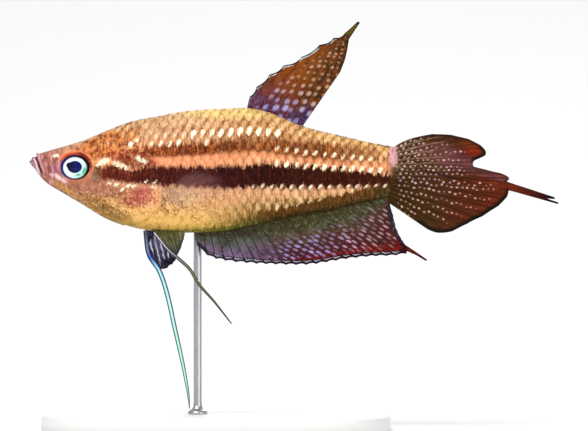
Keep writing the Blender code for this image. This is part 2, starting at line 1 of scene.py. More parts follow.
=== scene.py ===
import bpy
import numpy as np
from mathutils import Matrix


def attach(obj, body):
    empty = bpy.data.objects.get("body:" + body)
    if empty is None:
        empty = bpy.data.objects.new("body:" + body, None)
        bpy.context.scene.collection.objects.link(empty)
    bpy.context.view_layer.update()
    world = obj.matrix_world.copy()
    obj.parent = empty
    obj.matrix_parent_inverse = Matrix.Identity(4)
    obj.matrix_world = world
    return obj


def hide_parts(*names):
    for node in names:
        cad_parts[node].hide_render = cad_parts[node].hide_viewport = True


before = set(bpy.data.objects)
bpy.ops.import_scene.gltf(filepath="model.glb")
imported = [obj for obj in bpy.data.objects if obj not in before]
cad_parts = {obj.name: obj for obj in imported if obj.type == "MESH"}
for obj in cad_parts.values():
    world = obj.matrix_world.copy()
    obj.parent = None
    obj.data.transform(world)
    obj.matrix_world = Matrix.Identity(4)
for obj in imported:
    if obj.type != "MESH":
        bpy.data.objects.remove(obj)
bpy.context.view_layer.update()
print("frame loaded")

# Lengths are in the fish's own millimetres: s runs back from the snout, h is the height above the
# snout's level and y the distance from the middle plane, with the left flank at negative y.
fish = {
    "length": 38.0,          # snout to tail base
    "reach": 56.0,           # s as far as the colour lines run
    "middle": 27.28,         # s at X = 0
    "level": 27.7,           # height of the snout above the floor
    "widest": 0.56,          # level of the greatest width, as a share of the depth
    "headSquare": 0.82,
    "tailSquare": 1.05,
    "stations": (            # s, back, belly, half width
        (0.0, 0.0, 0.0, 0.0), (0.36, 0.57, -0.62, 0.42), (0.77, 0.82, -1.14, 0.68),
        (1.6, 1.10, -2.09, 1.02), (3.46, 1.65, -3.28, 1.58), (5.7, 2.33, -4.57, 2.10),
        (8.0, 3.31, -5.86, 2.50), (10.38, 4.20, -6.73, 2.76), (13.17, 4.78, -7.25, 2.90),
        (16.58, 5.36, -7.36, 2.93), (20.2, 5.56, -7.15, 2.80), (22.78, 5.59, -6.61, 2.60),
        (24.95, 5.09, -6.20, 2.38), (28.05, 3.80, -5.56, 2.00), (31.87, 2.83, -4.86, 1.48),
        (35.17, 2.06, -4.08, 1.00), (38.0, 1.55, -3.56, 0.62),
    ),
}


def hue(*colour):
    # a screen colour, its red, green and blue in hundredths, in the linear values that shaders take
    screen = np.array(colour) / 100
    linear = np.where(screen < 0.04045, screen / 12.92, ((screen + 0.055) / 1.055) ** 2.4)
    return (*linear.tolist(), 1.0)


def smoothStep(value, low, high):
    # 0 below low, 1 above high, and 3t^2 - 2t^3 between
    t = np.clip((value - low) / (high - low), 0, 1)
    return t * t * (3 - 2 * t)


def bell(value, width):
    # exp(-(value / width)^2)
    return np.exp(-((value / width) ** 2))


def smoothLine(points, at):
    # cubics through rows of (place, values...), whose slope at a row is the mean of its two sides
    points = np.asarray(points, float)
    knots, values = points[:, 0], points[:, 1:].T
    steps = np.diff(values) / np.diff(knots)
    slopes = np.concatenate([steps[:, :1], (steps[:, :-1] + steps[:, 1:]) / 2, steps[:, -1:]], axis=1)
    first = np.clip(np.searchsorted(knots, at, side="right") - 1, 0, len(knots) - 2)
    span = knots[first + 1] - knots[first]
    t = (at - knots[first]) / span
    rise = (2 * t**3 - 3 * t**2 + 1) * values[:, first] + (3 * t**2 - 2 * t**3) * values[:, first + 1]
    lean = (t**3 - 2 * t**2 + t) * slopes[:, first] + (t**3 - t**2) * slopes[:, first + 1]
    return rise + lean * span


def between(first, last, share):
    return first + (last - first) * share


def turns(count):
    # angles spaced evenly round a circle
    return np.arange(count) * 2 * np.pi / count


def signedPower(value, power):
    return np.sign(value) * np.abs(value) ** power


def outline(s):
    # back, belly and half width at s, along knots spaced by the root of s so that the snout is round
    stations = np.array(fish["stations"])
    stations[:, 0] = np.sqrt(stations[:, 0])
    return smoothLine(stations, np.sqrt(np.clip(s, 0, fish["length"])))


def girth(s):
    # the outline at s, and the level of the greatest width
    back, belly, half = outline(s)
    return back, belly, half, belly + fish["widest"] * (back - belly)


def squareness(s):
    return between(fish["headSquare"], fish["tailSquare"], np.clip(s / fish["length"], 0, 1))


def section(s, angle):
    # y = half |sin|^square and h = middle + reach cos, the angle from the back down the right flank
    back, belly, half, middle = girth(s)
    up = np.cos(angle)
    h = middle + np.where(up > 0, back - middle, middle - belly) * up
    return half * signedPower(np.sin(angle), squareness(s)), h


def flankY(s, h):
    # how far the flank stands out at s and h
    back, belly, half, middle = girth(s)
    up = np.clip((h - middle) / np.where(h > middle, back - middle, middle - belly), -1, 1)
    return half * np.sqrt(1 - up**2) ** squareness(s)


def bellyH(s, y):
    # the belly's height at s, a distance y from the middle plane
    _, belly, half, middle = girth(s)
    side = np.clip(np.abs(y) / half, 0, 1) ** (1 / squareness(s))
    return middle - (middle - belly) * np.sqrt(1 - side**2)


def bodyPoint(s, angle):
    # (s, y, h) of the body's surface and its outward normal, from steps across the two parameters
    small = 1e-3
    y, h = section(s, angle)
    point = np.stack([s + 0 * y, y, h], axis=-1)
    aheadY, aheadH = section(s + small, angle)
    backY, backH = section(np.maximum(s - small, 1e-6), angle)
    along = np.stack([2 * small + 0 * y, aheadY - backY, aheadH - backH], axis=-1)
    nextY, nextH = section(s, angle + small)
    lastY, lastH = section(s, angle - small)
    around = np.stack([0 * y, nextY - lastY, nextH - lastH], axis=-1)
    normal = np.cross(along, around)
    normal /= np.maximum(np.linalg.norm(normal, axis=-1, keepdims=True), 1e-12)
    return point, normal


gill = {
    "rear": 13.85,           # s and height of the opening's rearmost point
    "level": -3.6,
    "nape": 4.65,            # how far forward the opening lies at the back, and at the belly
    "throat": 4.05,
    "rounds": 12,
}


def gillLine(angle):
    # s of the gill opening: its rear less a parabola up to the nape and another down to the throat
    s = np.full_like(angle, gill["rear"])
    for _ in range(gill["rounds"]):
        back, belly = outline(s)[:2]
        h = section(s, angle)[1] - gill["level"]
        up = np.clip(h / (back - gill["level"]), 0, 1)
        down = np.clip(h / (belly - gill["level"]), 0, 1)
        s = gill["rear"] - gill["nape"] * up**2 - gill["throat"] * down**2
    return s


def metres(points):
    # metres in the frame from (s, y, h)
    return (np.asarray(points, float) - np.array([fish["middle"], 0.0, -fish["level"]])) * 0.001


def gridQuads(rows, columns, wrap):
    # corner numbers of the quads of a grid, closed round on itself if wrap
    i = np.arange(rows - 1)[:, None] * columns
    j = np.arange(columns if wrap else columns - 1)[None, :]
    k = (j + 1) % columns
    return np.stack([i + j, i + k, i + columns + k, i + columns + j], axis=-1).reshape(-1, 4)


def fan(ring, pole):
    # triangles from a ring of corner numbers to one pole
    return np.stack([ring, np.roll(ring, -1), np.full(len(ring), pole)], axis=1)


def putMesh(name, points, quads, triangles=None, loose=False):
    # makes the object, its faces turned outwards by the sign of the volume they hold
    points = metres(points)
    triangles = np.zeros((0, 3), int) if triangles is None else triangles
    halves = np.concatenate([quads[:, [0, 1, 2]], quads[:, [0, 2, 3]], triangles])
    a, b, c = [points[halves[:, i]] for i in range(3)]
    if not loose and np.einsum("ij,ij->i", a, np.cross(b, c)).sum() < 0:
        quads = quads[:, ::-1]
        triangles = triangles[:, ::-1]
    mesh = bpy.data.meshes.new(name)
    mesh.from_pydata(points.tolist(), [], quads.tolist() + triangles.tolist())
    mesh.shade_smooth()
    piece = bpy.data.objects.new(name, mesh)
    bpy.context.scene.collection.objects.link(piece)
    return piece


def putTube(name, rings, first, last):
    # rings of points closed round on themselves, with a pole before the first and one after the last
    rows, sides = rings.shape[:2]
    around = np.arange(sides)
    ends = [fan(around, rows * sides)[:, ::-1], fan(around + (rows - 1) * sides, rows * sides + 1)]
    points = np.concatenate([rings.reshape(-1, 3), [first, last]])
    return putMesh(name, points, gridQuads(rows, sides, True), np.concatenate(ends))


def plateFaces(rows, columns):
    # a plate's faces: a grid, the same one turned over for its other side, and walls round the rim
    size = rows * columns
    quads = gridQuads(rows, columns, False)
    index = np.arange(size).reshape(rows, columns)
    rim = np.concatenate([index[0, :-1], index[:-1, -1], index[-1, :0:-1], index[:0:-1, 0]])
    ahead = np.roll(rim, -1)
    walls = np.stack([ahead, ahead + size, rim + size, rim], axis=1)
    return np.concatenate([quads, quads[:, ::-1] + size, walls])


def flatten(*columns):
    # rows of numbers from arrays that share a grid
    return np.stack(np.broadcast_arrays(*columns), axis=-1).reshape(-1, len(columns))


def pointValues(piece, name, values):
    # keeps three numbers for each point
    layer = piece.data.attributes.new(name, "FLOAT_VECTOR", "POINT")
    layer.data.foreach_set("vector", values.ravel())


def pointUv(piece, name, uv):
    # a UV map whose corners take their points' values
    layer = piece.data.uv_layers.new(name=name)
    corners = np.zeros(len(piece.data.loops), int)
    piece.data.loops.foreach_get("vertex_index", corners)
    layer.data.foreach_set("uv", np.asarray(uv, float)[corners].ravel())


def dress(piece, material, slot, *nodes):
    # gives the piece its material, its body and the solids that it stands for
    piece.data.materials.append(material)
    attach(piece, "root")
    if nodes:
        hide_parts(*nodes)


def operator(operation, turned=False):
    # a method that puts a wire and another value through a Math node, or the other value first
    def join(self, other):
        return self.maths(operation, *((other, self) if turned else (self, other)))

    return join


class Wire:
    # one shader socket: an operator adds a Math node, and node() adds any other kind

    def __init__(self, tree, socket=None):
        self.tree = tree
        self.socket = socket

    def node(self, kind, settings=None, sockets=None, out=0):
        made = self.tree.nodes.new(kind)
        for name, value in (settings or {}).items():
            if name == "stops":
                stops = made.color_ramp.elements
                for i, (at, colour) in enumerate(value):
                    stop = stops[i] if i < 2 else stops.new(at)
                    stop.position = at
                    stop.color = colour
            elif name == "bends":
                line = made.mapping.curves[0].points
                line[0].location, line[1].location = value[:2]
                for x, y in value[2:]:
                    line.new(x, y)
                made.mapping.update()
            else:
                setattr(made, name, value)
        for name, value in (sockets or {}).items():
            if isinstance(value, Wire):
                self.tree.links.new(value.socket, made.inputs[name])
            else:
                made.inputs[name].default_value = value
        return Wire(self.tree, made.outputs[out])

    def output(self, name):
        # another output of this wire's node
        return Wire(self.tree, self.socket.node.outputs[name])

    def maths(self, operation, *values):
        # a Math node on the values, or on this wire where there are none
        return self.node("ShaderNodeMath", {"operation": operation}, dict(enumerate(values or (self,))))

    __add__ = operator("ADD")
    __radd__ = operator("ADD", True)
    __sub__ = operator("SUBTRACT")
    __rsub__ = operator("SUBTRACT", True)
    __mul__ = operator("MULTIPLY")
    __rmul__ = operator("MULTIPLY", True)
    __truediv__ = operator("DIVIDE")
    __rtruediv__ = operator("DIVIDE", True)
    least = operator("MINIMUM")

    def most(self, *others):
        # the greatest of this wire and the others
        wire = self
        for other in others:
            wire = wire.maths("MAXIMUM", wire, other)
        return wire

    def size(self):
        return self.maths("ABSOLUTE")

    def floor(self):
        return self.maths("FLOOR")

    def fromWhole(self):
        # how far this is above the nearest whole number, or below it
        return self - self.maths("ROUND")

    def over(self, low, high):
        # 0 at low and 1 at high, in a straight line
        return (self - low) * (1.0 / (high - low))

    def step(self, low, high):
        # 0 at low, 1 at high and smooth between, or the other way round where low is the greater
        settings = {"interpolation_type": "SMOOTHSTEP"}
        return self.node("ShaderNodeMapRange", settings, {"Value": self, "From Min": low, "From Max": high})

    def bend(self, points, low=-10, high=10):
        # a smooth line through points (x, y), whose x runs from 0 to the reach and y from low to high
        spots = [(x / fish["reach"], (y - low) / (high - low)) for x, y in points]
        held = self.node("ShaderNodeFloatCurve", {"bends": spots}, {"Value": self * (1 / fish["reach"])})
        return held * (high - low) + low

    def ramp(self, *stops):
        # a colour from stops of place, red, green and blue, all in hundredths
        spots = [(at / 100, hue(*colour)) for at, *colour in stops]
        return self.node("ShaderNodeValToRGB", {"stops": spots}, {0: self})

    def pick(self, off, on, how="MIX"):
        # a colour: off where this is 0, and on, blended in the way named, where it is 1
        off, on = [hue(*side) if isinstance(side, tuple) else side for side in (off, on)]
        return self.node("ShaderNodeMix", {"data_type": "RGBA", "blend_type": how}, {0: self, 6: off, 7: on},
                         2)

    def coats(self, *layers):
        # this colour under layers of a mask and its colour, one over another
        colour = self
        for mask, *tone in layers:
            colour = mask.pick(colour, *tone)
        return colour

    def parts(self, count=3):
        # the numbers of a vector
        split = self.node("ShaderNodeSeparateXYZ", {}, {0: self})
        return [split.output(i) for i in range(count)]

    def pair(self, other):
        # a vector of this number and another
        return self.node("ShaderNodeCombineXYZ", {}, {0: self, 1: other})

    def stretch(self, scale, turn=(0, 0, 0)):
        # this vector scaled and then turned
        return self.node("ShaderNodeMapping", {}, {0: self, "Rotation": turn, "Scale": scale})

    def noise(self, scale, detail):
        # noise from 0 to 1 at this vector, with so many patches to a millimetre
        return self.node("ShaderNodeTexNoise", {}, {"Vector": self, "Scale": scale, "Detail": detail})

    def shake(self, scale, detail):
        # the same noise, about 0
        return self.noise(scale, detail) - 0.5


class Paint:
    # a material, with its Principled shader and its points in the fish's millimetres

    def __init__(self, name):
        self.material = bpy.data.materials.new(name)
        self.material.use_nodes = True
        self.tree = self.material.node_tree
        self.shader = self.tree.nodes["Principled BSDF"]
        self.wire = Wire(self.tree)
        held = self.wire.node("ShaderNodeTexCoord", out="Object")
        self.place = self.wire.node("ShaderNodeVectorMath", {"operation": "SCALE"},
                                    {0: held, "Scale": 1000.0})
        x, _, z = self.place.parts()
        self.s = x + fish["middle"]
        self.h = z - fish["level"]

    def facts(self, name):
        # the three numbers of a point attribute
        return self.wire.node("ShaderNodeAttribute", {"attribute_name": name}, out="Vector").parts()

    def uv(self):
        return self.wire.node("ShaderNodeUVMap", {"uv_map": "UVMap"}).parts(2)

    def set(self, **sockets):
        for name, value in sockets.items():
            target = self.shader.inputs[name.replace("_", " ")]
            if isinstance(value, Wire):
                self.tree.links.new(value.socket, target)
            else:
                target.default_value = value

    def bump(self, height, distance, strength):
        # height in this material's own units, distance in metres
        made = self.wire.node("ShaderNodeBump", {},
                              {"Height": height, "Distance": distance, "Strength": strength})
        self.set(Normal=made)


def oval(x, z, radii, tilt=0.0):
    # (x / a)^2 + (z / b)^2, with x and z turned by the tilt
    cos, sin = np.cos(tilt), np.sin(tilt)
    long = (x * cos + z * sin) / radii[0]
    short = (z * cos - x * sin) / radii[1]
    return long * long + short * short


def dab(s, h, centre, radii, tilt, edge):
    # 1 inside an ellipse and 0 outside it, soft over the edge
    return oval(s - centre[0], h - centre[1], radii, tilt).step(1 + edge, 1 - edge)


# Markings, the same on the skin and on the scales: lines of (s, h), and the colours up the belly.
markings = {
    "stripeTop": ((0, -0.5), (7.6, -0.42), (9.2, -0.36), (10.5, -0.80), (12.45, -0.55), (17.6, -0.52),
                  (22.8, -0.31), (27.9, -0.31), (33.1, -0.83), (38, -1.42)),
    "stripeBottom": ((0, -1.8), (7.6, -1.86), (10.3, -2.23), (12.45, -2.38), (17.6, -2.69), (22.8, -2.72),
                     (27.9, -2.69), (33.1, -2.58), (38, -2.5)),
    "upperTop": ((0, 0.9), (8.5, 1.0), (10.4, 1.45), (17.6, 2.07), (22.8, 2.48), (27.9, 2.27), (33, 1.7),
                 (38, 1.2)),
    "upperBottom": ((0, 0.2), (8.5, 0.2), (12.4, 0.41), (17.6, 0.62), (22.8, 1.03), (27.9, 0.4), (33, 0.0),
                    (38, -0.4)),
    "frontBelly": ((0, 56, 48, 18), (4, 78, 62, 28), (10, 92, 73, 40), (22, 90, 68, 42), (34, 85, 65, 50),
                   (50, 90, 60, 44), (62, 91, 56, 38), (70, 82, 55, 36), (80, 80, 57, 41), (93, 86, 68, 50),
                   (100, 76, 60, 42)),
    "rearBelly": ((0, 30, 28, 10), (5, 42, 38, 14), (11, 50, 35, 8), (17, 60, 44, 20), (23, 84, 62, 42),
                  (36, 87, 62, 48), (50, 89, 60, 43), (62, 91, 56, 36), (72, 66, 42, 20), (84, 74, 50, 26),
                  (100, 84, 66, 36)),
}

# Dabs of colour: centre (s, h), radii, tilt, edge, screen colour and strength.
dabs = (
    ((1.4, 0.2), (2.5, 2.2), -0.9, 0.5, (56, 32, 33), 0.9),           # snout
    ((3.6, -2.4), (2.8, 1.0), -0.55, 0.6, (60, 37, 32), 0.8),         # under the eye
    ((6.6, -2.6), (2.6, 1.1), -0.2, 0.6, (60, 36, 28), 0.85),         # cheek
    ((2.9, -0.75), (0.7, 0.28), -0.5, 0.7, (56, 32, 40), 0.6),        # mauve before the eye
    ((3.0, -1.6), (1.1, 0.24), -0.4, 0.6, (88, 70, 70), 0.8),         # pale streak before the cheek
    ((3.3, -1.75), (0.75, 0.2), -0.6, 0.6, (95, 80, 80), 0.8),
    ((2.5, -0.65), (0.55, 0.3), -0.3, 0.6, (58, 32, 42), 0.7),
    ((4.1, -2.95), (2.0, 0.3), -0.52, 0.7, (76, 56, 28), 0.75),       # ochre over the jaw's edge
    ((7.4, -4.5), (2.8, 0.75), -0.5, 0.6, (59, 41, 20), 0.85),        # lower jaw
    ((9.1, -3.1), (0.9, 0.6), 0.3, 0.7, (48, 28, 15), 0.55),          # brown before the patch
    ((10.4, -3.6), (1.6, 1.0), 0.1, 0.7, (62, 36, 24), 0.8),
    ((11.2, -3.9), (1.35, 0.85), 0.3, 0.7, (68, 31, 26), 0.7),        # red patch on the gill cover
    ((12.15, -3.35), (1.2, 1.05), 0.1, 0.8, (70, 31, 28), 0.65),
    ((13.15, -3.6), (0.3, 1.2), 0.1, 0.8, (86, 55, 33), 0.6),         # pale rim behind it
    # painted shade, brown, in the slit of the gill opening
    ((13.95, -3.9), (0.26, 1.4), 0.0, 0.8, (48, 30, 18), 0.6),        # brown along the gill opening
    ((15.7, -3.6), (1.6, 1.1), -0.1, 0.8, (80, 68, 52), 0.5),         # paler under the pectoral fin
    # a painted highlight, pinkish white, over the eye's rear
    ((6.6, 1.25), (0.42, 0.3), 0.1, 0.7, (93, 72, 64), 0.8),          # pink over the eye's rear
    ((3.9, 1.25), (2.6, 0.35), 0.25, 0.7, (70, 46, 34), 0.7),
    ((8.2, 1.9), (3.6, 1.1), 0.36, 0.5, (66, 35, 13), 0.9),           # nape
    ((9.6, 0.75), (2.9, 0.6), -0.02, 0.5, (58, 19, 6), 0.85),         # rust over the eye stripe
    ((11.2, -0.05), (2.1, 0.7), -0.12, 0.6, (46, 14, 6), 0.9),
    ((6.9, -1.15), (0.55, 0.95), 0.15, 0.7, (30, 22, 10), 0.85),      # smudge behind the eye
    ((8.6, -5.05), (2.3, 0.6), -0.42, 0.7, (54, 40, 19), 0.7),        # throat
    ((37.4, -3.0), (1.8, 0.8), 0.1, 0.7, (24, 21, 6), 0.85),          # olive before the tail fin
    ((21.0, 5.1), (5.0, 0.75), 0.0, 0.8, (98, 88, 50), 0.6),          # yellow along the back
)

# White pieces behind the eye and small flecks under the stripe, iridescent skin whose white is painted sheen:
# centre (s, h), radii and tilt.
sheenFlecks = (
    ((7.8, 0.05), (0.62, 0.3), 0.3),
    ((7.25, -0.32), (0.26, 0.18), 0.0),
    ((9.5, -0.34), (0.95, 0.22), -0.33),
    ((11.25, 0.38), (0.24, 0.28), 0.0),
    ((11.75, 0.08), (0.5, 0.23), -0.45),
    ((8.3, -2.2), (0.28, 0.13), -0.2),
    ((9.0, -2.35), (0.25, 0.16), 0.2),
    ((10.25, -2.48), (0.30, 0.12), 0.3),
    ((10.8, -2.53), (0.28, 0.12), 0.3),
    ((9.65, -2.84), (0.27, 0.14), 0.7),
    ((12.05, -2.08), (0.18, 0.13), 0.6),
    ((13.05, -2.12), (0.16, 0.12), 0.2),
    ((12.72, -2.62), (0.16, 0.16), 0.0),
    ((13.07, -2.66), (0.14, 0.16), 0.0),
    ((2.75, 0.62), (0.34, 0.20), 0.2),
    ((10.55, 1.8), (0.17, 0.34), -0.2),
)

# Rows of scales with a painted gleam, a white reflection of their iridescence put into the colour: (s, h)
# from end to end, how white, and how tall, as a share of a vane.
paintedGleamRows = (
    (((10.2, 1.96), (15.6, 1.9)), 0.85, 0.42),
    (((12.4, 2.75), (15.8, 2.85)), 0.35, 0.36),
    (((16.6, 3.05), (25.4, 3.05)), 0.95, 0.58),
    (((18.2, 1.95), (18.4, 1.95)), 0.9, 0.40),
    (((25.0, 1.40), (34.9, 0.30)), 0.8, 0.34),
    (((25.0, -0.08), (36.6, -0.95)), 0.95, 0.44),
    (((22.8, -2.62), (36.6, -2.45)), 0.7, 0.26),
    (((25.4, -4.75), (30.0, -3.95)), 0.4, 0.22),
    (((26.3, 3.3), (31.5, 2.0)), 0.35, 0.26),
)

# The eyes' sizes, which the skin's sockets take too.
eye = {
    "centre": (4.76, -0.59),
    "radii": (1.47, 1.24),
    "dome": 0.42,
    "deep": 0.8,
    "level": 1.68,
    "turn": 0.22,
    "rings": 28,
    "sides": 96,
}

# The skin: rings of the body's surface, pushed in to lie under the scales and shaped at the head.
skin = {
    "rings": 330,
    "sides": 256,
    "ringKnots": ((0, 0.0), (0.18, 1.6), (0.5, 14.0), (1, 38.0)),   # share of the rings, s
    "inset": 0.06,
    "nose": (-0.03, 0.0, 0.05),
    "mouthFront": (0.66, 0.66),
    "mouthCorner": (1.30, -1.14),
    "lipApart": 0.2,
    "lipWide": 0.15,
    "lipProud": 0.17,
    "slitDeep": 0.2,
    "slitWide": 0.08,
    "foldApart": 0.62,
    "crease": 0.05,          # depth of the lesser creases
    "jawTop": 0.5,
    "jawLine": (1.3, -1.35, -0.52),      # s and h where the jaw's crease starts, and its slope
    "nostrils": (            # centre, width and depth of the pit, radius and width of its rim
        ((2.62, 0.64), 0.13, 0.2, 0.24, 0.09), ((1.95, 0.52), 0.09, 0.1, 0.16, 0.06),
    ),
    "orbitDeep": 0.7,
    "orbitRim": 0.10,
    "coverProud": 0.10,
    "coverSlit": 0.17,
    "coverArcs": (           # centre, radii, width, depth, and where each ends in s and in h
        ((12.2, -3.05), (3.9, 3.1), 0.035, 0.06, (12.5, 10.5), (1.2, 0.2)),
        ((12.2, -2.9), (5.3, 3.9), 0.03, 0.05, (11.0, 8.5), (0.4, -0.6)),
    ),
    "throatWide": 0.12,
    "narrow": 0.4,           # how much thinner the tail's end is than the solid's
    "tailOut": 0.35,         # how far the tail's end bulges, through rings at these shares of its size
    "tailRings": (0.93, 0.6),
}


def mouthAcross(s, h):
    # how far along the mouth's line and how far across it a point of the side view lies
    along = np.subtract(skin["mouthCorner"], skin["mouthFront"])
    long = np.hypot(*along)
    x = s - skin["mouthFront"][0]
    z = h - skin["mouthFront"][1]
    return (x * along[0] + z * along[1]) * (1 / long), (z * along[0] - x * along[1]) * (1 / long), long


def headColour(paint, s, h, colour, main, coarse, fine, speck):
    # mottling over the head, the ring of coloured skin round the eye, and the lips
    mottle = paint.place.shake(2.0, 1.0) + fine * 0.2 + speck * 0.15
    crown = (h - (s - 4.0) * 0.1 + coarse).step(-0.3, 0.6) * s.step(14.0, 10.0) * s.step(3.0, 6.0)
    bare = (1 - main * 0.85) * s.step(15.5, 12.5)
    face = s.step(6.5, 4.5)
    streaks = paint.place.stretch((3.2, 1.0, 1.1), (0, 0.5, 0)).shake(1.0, 3.0)
    x = (s - eye["centre"][0]) * (1 / eye["radii"][0])
    z = (h - eye["centre"][1]) * (1 / eye["radii"][1])
    away = (x * x + z * z).maths("SQRT") + fine * 0.1 - z.step(0.3, 1.3) * 0.1
    ring = away.over(1.0, 1.4)
    ringHue = (z + x * 0.15).step(-0.35, 0.3).pick(
        ring.ramp((0, 44, 20, 24), (22, 80, 45, 32), (42, 82, 46, 34), (50, 64, 34, 28), (62, 80, 50, 40),
                  (100, 74, 48, 42)),
        ring.ramp((0, 42, 13, 11), (22, 72, 26, 17), (50, 84, 42, 26), (75, 90, 58, 34), (100, 86, 56, 36)))
    ahead = x.step(-0.35, -0.85) * z.step(0.85, 0.4)
    ringMask = away.step(1.40, 1.24) * (0.92 - ahead * 0.86) * (z.step(0.2, -0.8) * -0.25 + 1)
    crescent = away.step(1.30, 1.14) * (x * 0.75 + z * 0.5).step(0.5, 0.95) * z.step(-0.3, 0.1)
    down, across, long = mouthAcross(s, h)
    across = across + fine * 0.1
    gape = down.step(-0.5, -0.1) * down.step(long + 0.3, long - 0.2)
    jaw = across.step(-0.05, -0.2) * s.step(1.6, 1.0)
    return colour.coats(
        (mottle.step(0.0, 0.14) * (crown * 0.42 + 0.2) * bare, crown.pick((88, 68, 58), (91, 56, 28))),
        (mottle.step(-0.02, -0.14) * (crown * 0.6 + 0.28) * bare, crown.pick((52, 30, 20), (45, 16, 5))),
        (streaks.step(0.03, 0.2) * face * 0.6, (84, 62, 68)),
        (streaks.step(-0.03, -0.2) * face * 0.65, (42, 18, 20)),
        (ringMask, ringHue),
        (away.step(1.12, 1.03) * ahead * 0.8, (42, 28, 54)),
        (crescent * 0.9, (36, 9, 10)),
        (jaw * 0.8, (fine + speck).step(-0.1, 0.1).pick((40, 32, 36), (70, 58, 66))),
        ((across + 0.26).size().step(0.13, 0.04) * gape * 0.85, (95, 80, 82)),
        ((across - 0.28).size().step(0.14, 0.05) * gape * 0.5, (86, 66, 70)),
        # the dark line in the mouth's slit is painted shade
        (across.size().step(0.13, 0.03) * gape * 0.9, (24, 8, 10)),
        (jaw * (h - 0.30).step(0.0, 0.14) * 0.8, (14, 8, 12)))


